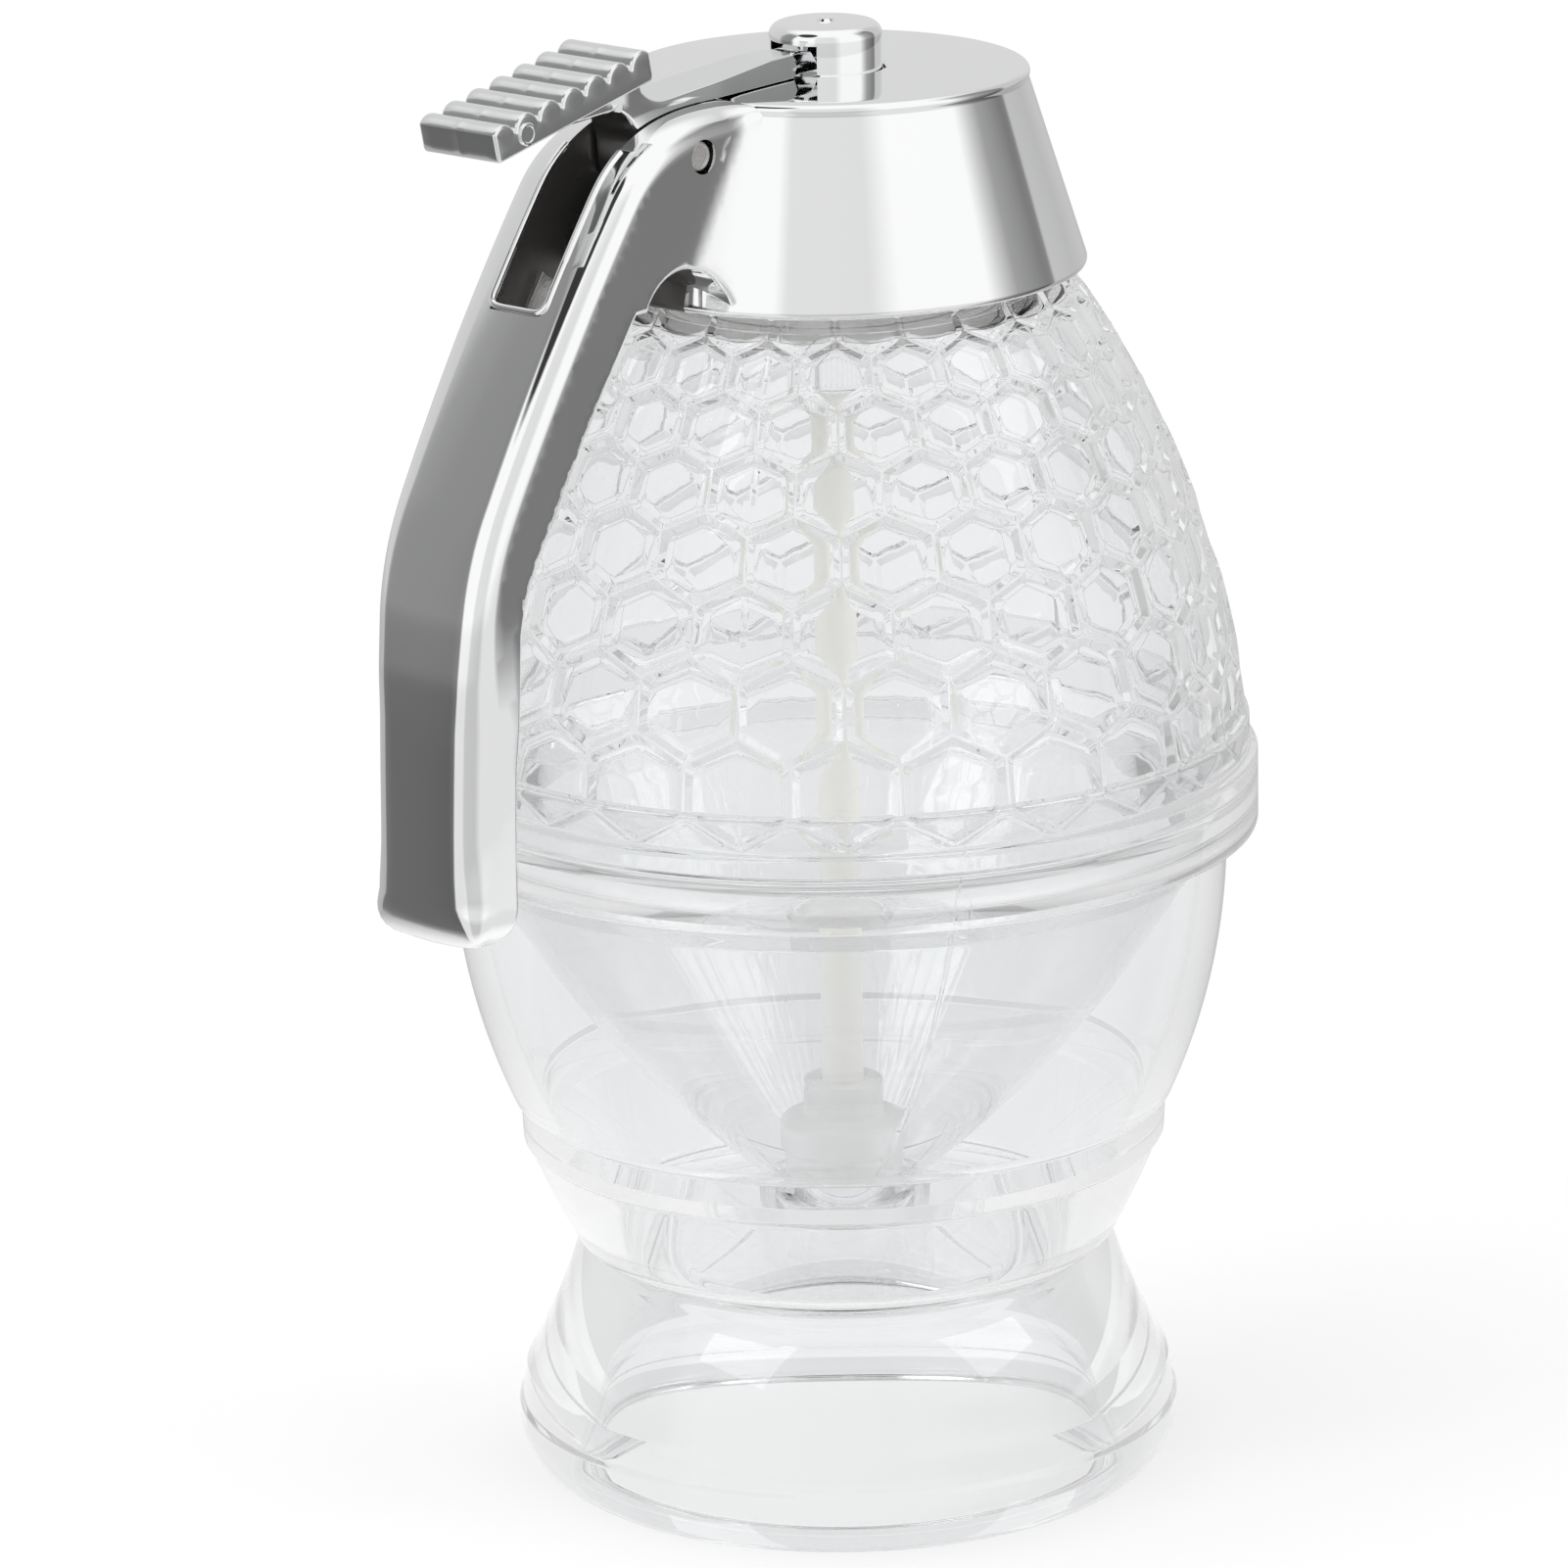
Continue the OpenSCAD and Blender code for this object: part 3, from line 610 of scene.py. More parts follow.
@dataclass(frozen=True)
class Finish:
    """A finish of one surface: its shader values and how uneven it is."""

    name: str
    color: tuple[float, float, float]
    metallic: float = 0.0
    see_through: float = 0.0
    ior: float = 1.49
    rough: tuple[float, float] = (0.02, 0.06)
    ripple_size: float = 60.0
    ripple_depth: float = 0.00002
    fine_share: float = 0.1
    tone_spread: float = 0.02
    seam_angle: float | None = None
    seam_height: float = 0.00002
    soft_glow: float = 0.0
    lets_light: float = 0.0
    most_bends: float = 9.5
    most_mirrorings: float = 2.5
    trapped_tone: float = 0.92

    def build(self, effects: SharedEffects) -> bpy.types.Material:
        """Makes the material.

        Args:
            effects: The shader groups.

        Returns:
            The material.
        """
        material = bpy.data.materials.new(self.name)
        material.use_nodes = True
        tree = material.node_tree
        tree.nodes.clear()
        shader = tree.nodes.new("ShaderNodeBsdfPrincipled")
        place = tree.nodes.new("ShaderNodeTexCoord").outputs["Object"]
        shader.inputs["Metallic"].default_value = self.metallic
        shader.inputs["Transmission Weight"].default_value = self.see_through
        shader.inputs["IOR"].default_value = self.ior
        if self.soft_glow:
            shader.inputs["Subsurface Weight"].default_value = self.soft_glow
            shader.inputs["Subsurface Radius"].default_value = (1.0, 0.95, 0.85)
            shader.inputs["Subsurface Scale"].default_value = 0.002
        marks = node(tree, "ShaderNodeGroup", {}, node_tree=effects.marks)
        tree.links.new(place, marks.inputs[0])
        marks.inputs["Low"].default_value, marks.inputs["High"].default_value = self.rough
        tree.links.new(marks.outputs[0], shader.inputs["Roughness"])
        self._tint(tree, place, shader)
        self._relief(tree, place, shader, effects)
        surface = shader.outputs[0]
        if self.lets_light:
            surface = self._opened(tree, surface)
        node(tree, "ShaderNodeOutputMaterial", {0: surface})
        return material

    def _opened(self, tree: bpy.types.NodeTree, surface: bpy.types.NodeSocket) -> bpy.types.NodeSocket:
        """Lets light reach what is inside a clear piece, and ends rays that were bent many times.

        Args:
            tree: The material's tree.
            surface: The clear shader.

        Returns:
            The shader that goes to the output.
        """
        rays = tree.nodes.new("ShaderNodeLightPath")
        light = maths(tree, "MAXIMUM", rays.outputs["Is Shadow Ray"], rays.outputs["Is Diffuse Ray"])
        bent = maths(tree, "GREATER_THAN", rays.outputs["Transmission Depth"], self.most_bends)
        trapped = maths(tree, "GREATER_THAN", rays.outputs["Glossy Depth"], self.most_mirrorings)
        deep = maths(tree, "MAXIMUM", bent, trapped)
        tone = node(tree, "ShaderNodeMix", {0: trapped, 2: self.lets_light, 3: self.trapped_tone})
        passing = node(tree, "ShaderNodeBsdfTransparent", {0: tone.outputs[0]})
        share = maths(tree, "MAXIMUM", light, deep)
        return node(tree, "ShaderNodeMixShader", {0: share, 1: surface, 2: passing.outputs[0]}).outputs[0]

    def _tint(self, tree: bpy.types.NodeTree, place: bpy.types.NodeSocket, shader: bpy.types.Node) -> None:
        """Varies the colour a little over the surface."""
        cloud = node(tree, "ShaderNodeTexNoise", {"Vector": place, "Scale": 45.0, "Detail": 3.0})
        low = tuple(max(0.0, c - self.tone_spread) for c in self.color)
        high = tuple(min(1.0, c + self.tone_spread) for c in self.color)
        blend = node(tree, "ShaderNodeMix", {0: cloud.outputs[0]}, data_type="RGBA")
        blend.inputs[6].default_value = (*low, 1)
        blend.inputs[7].default_value = (*high, 1)
        tree.links.new(blend.outputs[2], shader.inputs["Base Color"])

    def _relief(
        self, tree: bpy.types.NodeTree, place: bpy.types.NodeSocket, shader: bpy.types.Node,
        effects: SharedEffects,
    ) -> None:
        """Adds the skin's ripple and, where there is one, the mould line."""
        wave = node(tree, "ShaderNodeGroup", {}, node_tree=effects.ripple)
        tree.links.new(place, wave.inputs[0])
        wave.inputs["Size"].default_value = self.ripple_size
        wave.inputs["Fine share"].default_value = self.fine_share
        bump = node(tree, "ShaderNodeBump", {"Height": wave.outputs[0], "Distance": self.ripple_depth})
        if self.seam_angle is not None:
            line = node(tree, "ShaderNodeGroup", {}, node_tree=effects.seam)
            tree.links.new(place, line.inputs[0])
            line.inputs["Side"].default_value = math.sin(math.radians(self.seam_angle))
            line.inputs["Front"].default_value = math.cos(math.radians(self.seam_angle))
            ridge = node(tree, "ShaderNodeBump", {"Height": line.outputs[0], "Distance": self.seam_height})
            tree.links.new(bump.outputs[0], ridge.inputs["Normal"])
            bump = ridge
        tree.links.new(bump.outputs[0], shader.inputs["Normal"])


@dataclass(frozen=True)
class Finishes:
    """Every finish of the dispenser."""

    jar: Finish = Finish(
        "clear_jar_acrylic", (0.93, 0.935, 0.94), see_through=1.0, rough=(0.0, 0.012), seam_angle=58.9,
        ripple_size=25.0, ripple_depth=0.00004, fine_share=0.0, tone_spread=0.004, lets_light=0.97,
    )
    comb: Finish = Finish(
        "clear_honeycomb_acrylic", (0.92, 0.925, 0.93), see_through=1.0, rough=(0.0, 0.012), seam_angle=27.6,
        ripple_size=70.0, ripple_depth=0.00003, fine_share=0.05, tone_spread=0.004, lets_light=0.97,
    )
    stand: Finish = Finish(
        "clear_stand_acrylic", (0.93, 0.935, 0.94), see_through=1.0, rough=(0.0, 0.012),
        ripple_size=20.0, ripple_depth=0.00006, fine_share=0.0, tone_spread=0.004, lets_light=0.97,
    )
    chrome: Finish = Finish(
        "plated_lid_chrome", (0.95, 0.953, 0.955), metallic=1.0, rough=(0.03, 0.07),
        ripple_size=70.0, ripple_depth=0.00002, tone_spread=0.01,
    )
    lever: Finish = Finish(
        "plated_lever_chrome", (0.88, 0.885, 0.89), metallic=1.0, rough=(0.06, 0.12),
        ripple_size=140.0, ripple_depth=0.00003, tone_spread=0.015,
    )
    # Dark chrome for the walls inside the handle's channel and window: painted shade of that recess.
    dark_wall: Finish = Finish(
        "painted_shade_inner_chrome", (0.13, 0.125, 0.12), metallic=0.7, rough=(0.25, 0.4),
        ripple_size=120.0, ripple_depth=0.00004, tone_spread=0.03,
    )
    pin: Finish = Finish(
        "dull_pin_steel", (0.55, 0.54, 0.53), metallic=1.0, rough=(0.25, 0.45),
        ripple_size=500.0, ripple_depth=0.00015, fine_share=0.5, tone_spread=0.08,
    )
    wire: Finish = Finish(
        "drawn_spring_wire", (0.66, 0.66, 0.66), metallic=1.0, rough=(0.15, 0.3),
        ripple_size=400.0, ripple_depth=0.00002, tone_spread=0.05,
    )
    ring: Finish = Finish(
        "white_ring_plastic", (0.9, 0.9, 0.89), rough=(0.35, 0.5),
        ripple_size=150.0, ripple_depth=0.00003, tone_spread=0.015,
    )
    rod: Finish = Finish(
        "ivory_rod_plastic", (0.93, 0.93, 0.88), rough=(0.25, 0.4),
        ripple_size=120.0, ripple_depth=0.00003, tone_spread=0.015,
    )
    stopper: Finish = Finish(
        "frosted_stopper_silicone", (0.94, 0.945, 0.94), see_through=0.6, ior=1.41, rough=(0.25, 0.4),
        ripple_size=200.0, ripple_depth=0.00003, tone_spread=0.015, lets_light=0.9,
    )

    def build(self) -> dict[str, bpy.types.Material]:
        """Makes every material, by the name of its field."""
        effects = SharedEffects()
        return {key: getattr(self, key).build(effects) for key in self.__dataclass_fields__}


def placed(
    piece: bpy.types.Object, body: str, finish: bpy.types.Material, nodes: Sequence[str]
) -> bpy.types.Object:
    """Dresses a piece and hands it to the body that carries it.

    Args:
        piece: The piece.
        body: Body that it moves with.
        finish: Its material.
        nodes: CAD nodes that it stands for.

    Returns:
        The piece.
    """
    if not piece.data.materials:
        piece.data.materials.append(finish)
    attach(piece, body)
    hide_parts(*nodes)
    log.info("%s: %d faces, rides on %s", piece.name, len(piece.data.polygons), body)
    return piece


# ---------- the dispenser, in millimetres ----------


@dataclass
class Heights:
    """Heights above the table that the sub-assemblies share, and the lid's cone."""

    waist: float = 26.5
    ring: float = 37.3
    bowl: float = 42.2
    rim: float = 71.9
    band: float = 72.1
    band_top: float = 80.2
    dome: float = 84.2
    neck_base: float = 131.5
    neck_top: float = 144.7
    lid: float = 132.9
    lid_top: float = 154.2
    lid_r: float = 27.2
    cone_slope: float = (27.2 - 21.4) / 19.5
    collar: float = 27.6
    valve: float = 33.0


@dataclass
class Stand:
    """Clear pedestal: hollow foot, waist, ring and bowl in one moulding."""

    z: Heights
    foot_r: float = 35.9
    contact_r: float = 31.0
    waist_r: float = 28.7
    ring_r: float = 34.7
    bowl_r: float = 41.6
    wall: float = 2.6
    floor_t: float = 3.0

    def outline(self) -> Outline:
        """Outline from the hollow's top round the foot, the bowl and its floor."""
        top = self.z.waist - self.floor_t - 0.5
        top_r = self.waist_r - 8.2
        points = [(0.0, top)]
        points += bend((top_r - 2, top - 2), 2, 90, 30, 5)
        points += arc((top_r - 0.1, top - 1.4), (self.contact_r - 1.8, 0.6), -60)
        points += [(self.contact_r - 1.2, 0.0), (self.contact_r, 0.0)]
        points += arc((self.contact_r + 1.2, 0.3), (self.foot_r, 6.2), 7, 0.5)
        points += [(self.foot_r, 7.5), (self.foot_r - 0.45, 8.0), (self.foot_r - 0.5, 8.7)]
        points += arc((self.foot_r - 0.9, self.z.waist - 15), (self.waist_r, self.z.waist), -67)
        points += arc((self.waist_r + 0.5, self.z.waist + 0.15), (self.ring_r - 0.5, self.z.ring), 94)
        points += [(self.ring_r, self.z.ring + 0.4), (self.ring_r + 0.2, self.z.bowl - 0.2)]
        points += arc((self.ring_r + 0.9, self.z.bowl + 0.25), (self.bowl_r, self.z.rim - 0.4), 67.5)
        points += [(self.bowl_r - 0.4, self.z.rim), (self.bowl_r - self.wall + 0.4, self.z.rim)]
        points += arc((self.bowl_r - self.wall, self.z.rim - 0.4),
                      (self.ring_r + 0.6 - self.wall, self.z.bowl + 0.5), -67.5)
        points += [(self.ring_r - self.wall, self.z.ring + 1.6)]
        points += bend((self.waist_r - 5.6, self.z.waist + 2.7), 3, -20, -90, 8)
        points += [(0.0, self.z.waist - 0.3)]
        return eased(points, 0.35)

    def make(self, finishes: dict[str, bpy.types.Material]) -> None:
        """Builds the stand and places it."""
        piece = turned("pedestal_stand", self.outline(), 256)
        placed(piece, "stand", finishes["stand"], ["stand"])


@dataclass
class Jar:
    """Clear jar: funnel with its band and rim, and the honeycomb dome with its threaded neck."""

    z: Heights
    band_r: float = 45.0
    skirt_r: float = 38.4
    socket_r: float = 42.4
    wall: float = 2.2
    outlet_r: float = 5.0
    collar_r: float = 9.8
    seat_r: float = 7.0
    neck_r: float = 19.3
    cells_round: int = 24
    cell_rows: int = 9
    comb_arc: float = 103.5
    comb_centre: Point = (-58.9, 72.3)
    top_row: float = 35.25
    row_step: float = 2.93
    row_growth: float = 0.137
    comb_turn: float = -2.3
    relief: float = 0.5
    corner_pull: float = 0.015
    side_steps: int = 4

    def funnel_outline(self) -> Outline:
        """Closed outline of the funnel, the band, the rim and the outlet."""
        z = self.z
        cone = self.seat_r + 1.6
        points = [(self.outlet_r, z.collar), (self.collar_r, z.collar), (self.collar_r, z.collar + 2.4)]
        points += [(self.collar_r - 1.4, z.collar + 3.4), (cone, z.valve)]
        points += arc((cone, z.valve + 0.2), (self.skirt_r, z.rim - 3), 108)
        points += [(self.skirt_r, z.band), (self.band_r, z.band), (self.band_r, z.band_top)]
        points += [(self.band_r - 0.9, z.band_top + 0.5), (self.band_r - 0.9, z.dome)]
        points += [(self.socket_r, z.dome), (self.socket_r, z.band_top - 3)]
        points += [(self.socket_r - self.wall, z.band_top - 3)]
        points += arc((self.skirt_r - self.wall, z.rim - 2), (self.seat_r + 0.4, z.valve + 0.8), -108)
        points += [(self.seat_r, z.valve), (self.outlet_r, z.valve)]
        return eased(points, 0.7, closed=True)

    def cell(self) -> bpy.types.Object:
        """One honeycomb cell, one unit wide and four thirds high, with its relief in millimetres."""
        corners = [Vector((0, 2 / 3)), Vector((-0.5, 1 / 3)), Vector((-0.5, -1 / 3))]
        corners += [-c for c in corners]
        levels = [(1.0, 0.0), (0.975, 0.0), (0.955, -0.08), (0.85, -0.92)]
        levels += [(0.83, -1.0), (0.6, -1.0), (0.3, -1.0)]
        bm = bmesh.new()
        rings = []
        for size, height in levels:
            ring = []
            for k in range(6):
                a, b = corners[k], corners[(k + 1) % 6]
                for step in range(self.side_steps):
                    q = a.lerp(b, step / self.side_steps) * size
                    if step == 0:
                        q *= 1 - self.corner_pull * min(1.0, (1 - size) / 0.2)
                    ring.append(bm.verts.new((q.x, q.y, height * self.relief)))
            rings.append(ring)
        centre = bm.verts.new((0, 0, -self.relief))
        total = len(rings[0])
        for outer, inner in zip(rings, rings[1:]):
            for i in range(total):
                j = (i + 1) % total
                bm.faces.new((outer[i], outer[j], inner[j], inner[i]))
        for i in range(total):
            bm.faces.new((rings[-1][i], rings[-1][(i + 1) % total], centre))
        mesh = bpy.data.meshes.new("honeycomb_cell")
        bm.to_mesh(mesh)
        bm.free()
        return in_scene("honeycomb_dome", mesh)

    def comb_tree(self) -> GrowthTree:
        """Tree that sets one cell on every place of the lattice and wraps the sheet round the dome."""
        growth = GrowthTree("honeycomb_wrap", {
            "Cells round": self.cells_round, "Rows": self.cell_rows, "Arc radius": self.comb_arc,
            "Centre out": self.comb_centre[0], "Centre up": self.comb_centre[1], "Top row": self.top_row,
            "Row step": self.row_step, "Row growth": self.row_growth, "Turn": self.comb_turn,
        })
        tree = growth.tree
        columns, rows = growth.input("Cells round"), growth.input("Rows")
        grid = node(tree, "GeometryNodeMeshGrid", {
            "Size X": maths(tree, "SUBTRACT", columns, 1.0), "Size Y": maths(tree, "SUBTRACT", rows, 1.0),
            "Vertices X": columns, "Vertices Y": rows,
        })
        position = tree.nodes.new("GeometryNodeInputPosition").outputs[0]
        place = node(tree, "ShaderNodeSeparateXYZ", {0: position})
        column = maths(tree, "ADD", place.outputs[0], maths(tree, "MULTIPLY", columns, 0.5))
        row = maths(tree, "ROUND", maths(tree, "ADD", place.outputs[1],
                                         maths(tree, "MULTIPLY", maths(tree, "SUBTRACT", rows, 1.0), 0.5)))
        shift = maths(tree, "MULTIPLY", maths(tree, "MODULO", row, 2.0), 0.5)
        spot = node(tree, "ShaderNodeCombineXYZ", {0: maths(tree, "ADD", column, shift), 1: row})
        moved = {"Geometry": grid.outputs[0], "Position": spot.outputs[0]}
        lattice = node(tree, "GeometryNodeSetPosition", moved)
        cells = node(tree, "GeometryNodeInstanceOnPoints", {
            "Points": lattice.outputs[0], "Instance": growth.input("Geometry"),
        })
        sheet = node(tree, "GeometryNodeRealizeInstances", {0: cells.outputs[0]})
        position = tree.nodes.new("GeometryNodeInputPosition").outputs[0]
        flat = node(tree, "ShaderNodeSeparateXYZ", {0: position})
        u, v, height = flat.outputs
        down = maths(tree, "ADD", maths(tree, "MULTIPLY", v, growth.input("Row step")),
                     maths(tree, "MULTIPLY", maths(tree, "MULTIPLY", v, v), growth.input("Row growth")))
        tilt = maths(tree, "RADIANS", maths(tree, "SUBTRACT", growth.input("Top row"), down))
        reach = maths(tree, "ADD", growth.input("Arc radius"), height)
        out = maths(tree, "MULTIPLY", reach, maths(tree, "COSINE", tilt))
        out = maths(tree, "ADD", growth.input("Centre out"), out)
        up = maths(tree, "MULTIPLY", reach, maths(tree, "SINE", tilt))
        up = maths(tree, "ADD", growth.input("Centre up"), up)
        share = maths(tree, "DIVIDE", maths(tree, "MULTIPLY", u, 360.0), columns)
        angle = maths(tree, "RADIANS", maths(tree, "ADD", share, growth.input("Turn")))
        wrapped = node(tree, "ShaderNodeCombineXYZ", {
            0: maths(tree, "MULTIPLY", out, maths(tree, "COSINE", angle)),
            1: maths(tree, "MULTIPLY", out, maths(tree, "SINE", angle)), 2: up,
        })
        moved = {"Geometry": sheet.outputs[0], "Position": wrapped.outputs[0]}
        dome = node(tree, "GeometryNodeSetPosition", moved)
        joined = node(tree, "GeometryNodeMergeByDistance", {"Geometry": dome.outputs[0], "Distance": 0.01})
        growth.end(joined.outputs[0])
        return growth

    def dome(self, finish: bpy.types.Material) -> bpy.types.Object:
        """The dome: honeycomb outside, smooth inside, with the spigot below and the neck above.

        Args:
            finish: Its material.

        Returns:
            The piece.
        """
        comb = self.comb_tree().grow(self.cell(), finish)
        bm = bmesh.new()
        bm.from_mesh(comb.data)
        bpy.data.objects.remove(comb)
        z = self.z
        lip_z, step = z.dome + 0.1, 0.04
        top_z, low_z = 132.4, 80.6
        ledge = 1.6
        for level, keep_below in ((top_z, True), (low_z, False)):
            self._cut(bm, level, 1 if keep_below else -1)
        self._cut(bm, lip_z, 0)
        self._cut(bm, lip_z - step, 0)
        for v in bm.verts:
            if v.co.z < lip_z - step / 2:
                r = math.hypot(v.co.x, v.co.y)
                v.co.x *= (r - ledge) / r
                v.co.y *= (r - ledge) / r
        rims = [e for e in bm.edges if e.is_boundary]
        spigot_r = self.socket_r - 0.05
        inner_r = self.neck_r - self.wall + 0.3
        step_z = z.band_top - 2.95
        low = [(spigot_r - 0.25, low_z), (spigot_r - 0.25, step_z), (spigot_r - self.wall, step_z)]
        low += arc((spigot_r - self.wall, z.dome + 2), (24.2, 129.4), self.comb_arc - 3)
        low += [(inner_r, 130.2), (inner_r, z.neck_top - 0.3), (inner_r + 0.3, z.neck_top)]
        low += [(self.neck_r - 0.5, z.neck_top), (self.neck_r, z.neck_top - 0.5)]
        for k in (2, 1, 0):
            ring = z.neck_base + 3.4 + 3 * k
            low += [(self.neck_r, ring + 0.9), (self.neck_r + 0.45, ring + 0.3)]
            low += [(self.neck_r + 0.45, ring - 0.3), (self.neck_r, ring - 0.9)]
        low += [(self.neck_r, z.neck_base), (22.6, z.neck_base), (23.4, top_z)]
        segments = 192
        rings = turn_into(bm, eased(low, 0.4), segments)
        for ring, level in ((rings[0], low_z), (rings[-1], top_z)):
            circle = [bm.edges.get((ring[k], ring[(k + 1) % segments])) for k in range(segments)]
            loop = [e for e in rims if abs(e.verts[0].co.z - level) < 0.01]
            bmesh.ops.triangle_fill(bm, edges=circle + loop, use_beauty=True, normal=(0, 0, 1))
        return finished("honeycomb_dome", bm, edge=math.radians(50))

    @staticmethod
    def _cut(bm: bmesh.types.BMesh, level: float, side: int) -> None:
        """Cuts the mesh at a height; side 1 drops what is above it, -1 what is below, 0 nothing."""
        everything = bm.verts[:] + bm.edges[:] + bm.faces[:]
        bmesh.ops.bisect_plane(bm, geom=everything, dist=1e-4, plane_co=(0, 0, level), plane_no=(0, 0, 1),
                               clear_outer=side == 1, clear_inner=side == -1)

    def make(self, finishes: dict[str, bpy.types.Material]) -> None:
        """Builds the jar's two mouldings and places them."""
        funnel = turned("jar_funnel_and_band", self.funnel_outline(), 256, closed=True)
        placed(funnel, "jar", finishes["jar"], ["jar_funnel"])
        placed(self.dome(finishes["comb"]), "jar", finishes["comb"], ["jar_dome"])


def bent_tube(
    name: str, line: Sequence[Vector], radius: float, finish: bpy.types.Material
) -> bpy.types.Object:
    """A round bar that follows a line.

    Args:
        name: Name of the piece.
        line: Points of its centre line, in millimetres.
        radius: Radius of the bar.
        finish: Its material.

    Returns:
        The piece.
    """
    growth = GrowthTree(name + "_sweep", {"Radius": radius * MM, "Sides": 12, "Points": 4 * len(line)})
    tree = growth.tree
    curve = node(tree, "GeometryNodeMeshToCurve", {0: growth.input("Geometry")})
    smooth = node(tree, "GeometryNodeCurveSplineType", {0: curve.outputs[0]}, spline_type="CATMULL_ROM")
    count = growth.input("Points")
    fine = node(tree, "GeometryNodeResampleCurve", {"Curve": smooth.outputs[0], "Count": count})
    circle = node(tree, "GeometryNodeCurvePrimitiveCircle", {
        "Resolution": growth.input("Sides"), "Radius": growth.input("Radius"),
    })
    sweep = node(tree, "GeometryNodeCurveToMesh", {
        "Curve": fine.outputs[0], "Profile Curve": circle.outputs[0], "Fill Caps": True,
    })
    growth.end(sweep.outputs[0])
    mesh = bpy.data.meshes.new(name)
    mesh.from_pydata([p * MM for p in line], [(i, i + 1) for i in range(len(line) - 1)], [])
    return growth.grow(in_scene(name, mesh), finish)


@dataclass
class Handle:
    """Side view and widths of the long curved handle."""

    z: Heights
    width: float = 16.0
    tip_width: float = 14.0
    shoulder_t: float = 7.3
    grip_t: float = 5.2
    edge_deep: float = 2.3
    grip_edge_deep: float = 3.2
    edge_wide: float = 3.2
    grip_edge_wide: float = 2.2
    side_tilt: float = 0.2
    inner_edge: float = 0.6
    crown: float = 0.15
    face_out: float = 1.45
    tip_out: float = 0.25
    tip_length: float = 4.6
    tip_corner: float = 4.0
    flare_share: float = 0.2
    start: Point = (23.5, 154.2)
    legs: tuple = ((18.04, 53.0), (33.6, 8.0), (13.0, 22.0), (28.4, 3.2))
    arch_centre: Point = (31.3, 132.7)
    arch_r: float = 6.0
    window_w: float = 7.0
    lip_foot: float = 136.4
    pivot: Point = (28.0, 150.0)
    channel_r: float = 4.8
    outer: list = field(init=False)
    face: list = field(init=False)

    def __post_init__(self) -> None:
        """Works out the path that the widths are measured from, and the outer face in front of it.

        Rounded edges hide part of the handle in side view, so the face stands out a little further than
        the path with sharp edges would.
        """
        self.outer = curved_path(self.start, self.legs)
        self.face = []
        for x, z, a in self.outer:
            grown = min(1.0, math.degrees(a) / 50)
            out = self.tip_out + (self.face_out - self.tip_out) * min(1.0, (z - 77) / 24)
            out *= grown * grown * (3 - 2 * grown)
            self.face.append((x + out * math.sin(a), z + out * math.cos(a), a))

    def inset(self, depth: float) -> Outline:
        """The outer face moved towards the jar by one depth."""
        return [(x - depth * math.sin(a), z - depth * math.cos(a)) for x, z, a in self.outer]

    def inner(self, extra: float = 0.0) -> Outline:
        """The handle's inner face, moved on towards the jar by an extra depth."""
        heading_1, heading_2 = math.radians(53), math.radians(83)
        points = []
        for x, z, a in self.outer:
            t = min(1.0, max(0.0, (a - heading_1) / (heading_2 - heading_1)))
            depth = self.shoulder_t + (self.grip_t - self.shoulder_t) * t + extra
            points.append((x - depth * math.sin(a), z - depth * math.cos(a)))
        return points

    def outline(self) -> Outline:
        """Closed side view, from inside the lid round the outer face, tip, inner face and arch."""
        foot = self.arch_centre[1] + self.arch_r * math.sin(math.radians(25))
        inner = [p for p in self.inner() if p[1] < foot and p[0] > self.arch_centre[0] + self.arch_r - 0.6]
        points = [(14.0, 153.2), (18.6, 153.75), (20.4, 154.1)]
        points += [(x, z) for x, z, _ in self.face]
        points += self.tip()
        points += inner[::-1]
        points += bend(self.arch_centre, self.arch_r, 25, 172, 24)
        points += [(16.0, 133.6)]
        return dense(points, 1.0, closed=True)

    def edge(self, out: float, up: float) -> Point:
        """Depth and width of the rounded edge at a point of the side view.

        It is wide along the outer face, deeper along the grip, and tight elsewhere.

        Args:
            out: Distance from the jar's axis.
            up: Height above the table.

        Returns:
            The depth and the width.
        """
        away = min(math.hypot(out - x, up - z) for x, z, _ in self.face)
        near = min(1.0, max(0.0, 1 - away / self.grip_t))
        grip = min(1.0, max(0.0, (113 - up) / 16)) * min(1.0, max(0.0, (up - 79) / 6))
        deep = self.edge_deep + (self.grip_edge_deep - self.edge_deep) * grip
        low = min(1.0, max(0.0, (132 - up) / 32))
        wide = self.edge_wide + (self.grip_edge_wide - self.edge_wide) * low
        return (self.inner_edge + (deep - self.inner_edge) * near,
                self.inner_edge + (wide - self.inner_edge) * near)

    def tip(self) -> Outline:
        """The round end of the grip, from the outer face to the inner face."""
        x, z, heading = self.face[-1]
        radius = (self.grip_t + self.tip_out) / 2
        middle = (x - radius * math.sin(heading), z - radius * math.cos(heading))
        points = []
        for k in range(15):
            t = math.radians(8 + 164 * k / 14)
            away, along = radius * math.cos(t), self.tip_length * math.sin(t)
            points.append((middle[0] + away * math.sin(heading) + along * math.cos(heading),
                           middle[1] + away * math.cos(heading) - along * math.sin(heading)))
        return points

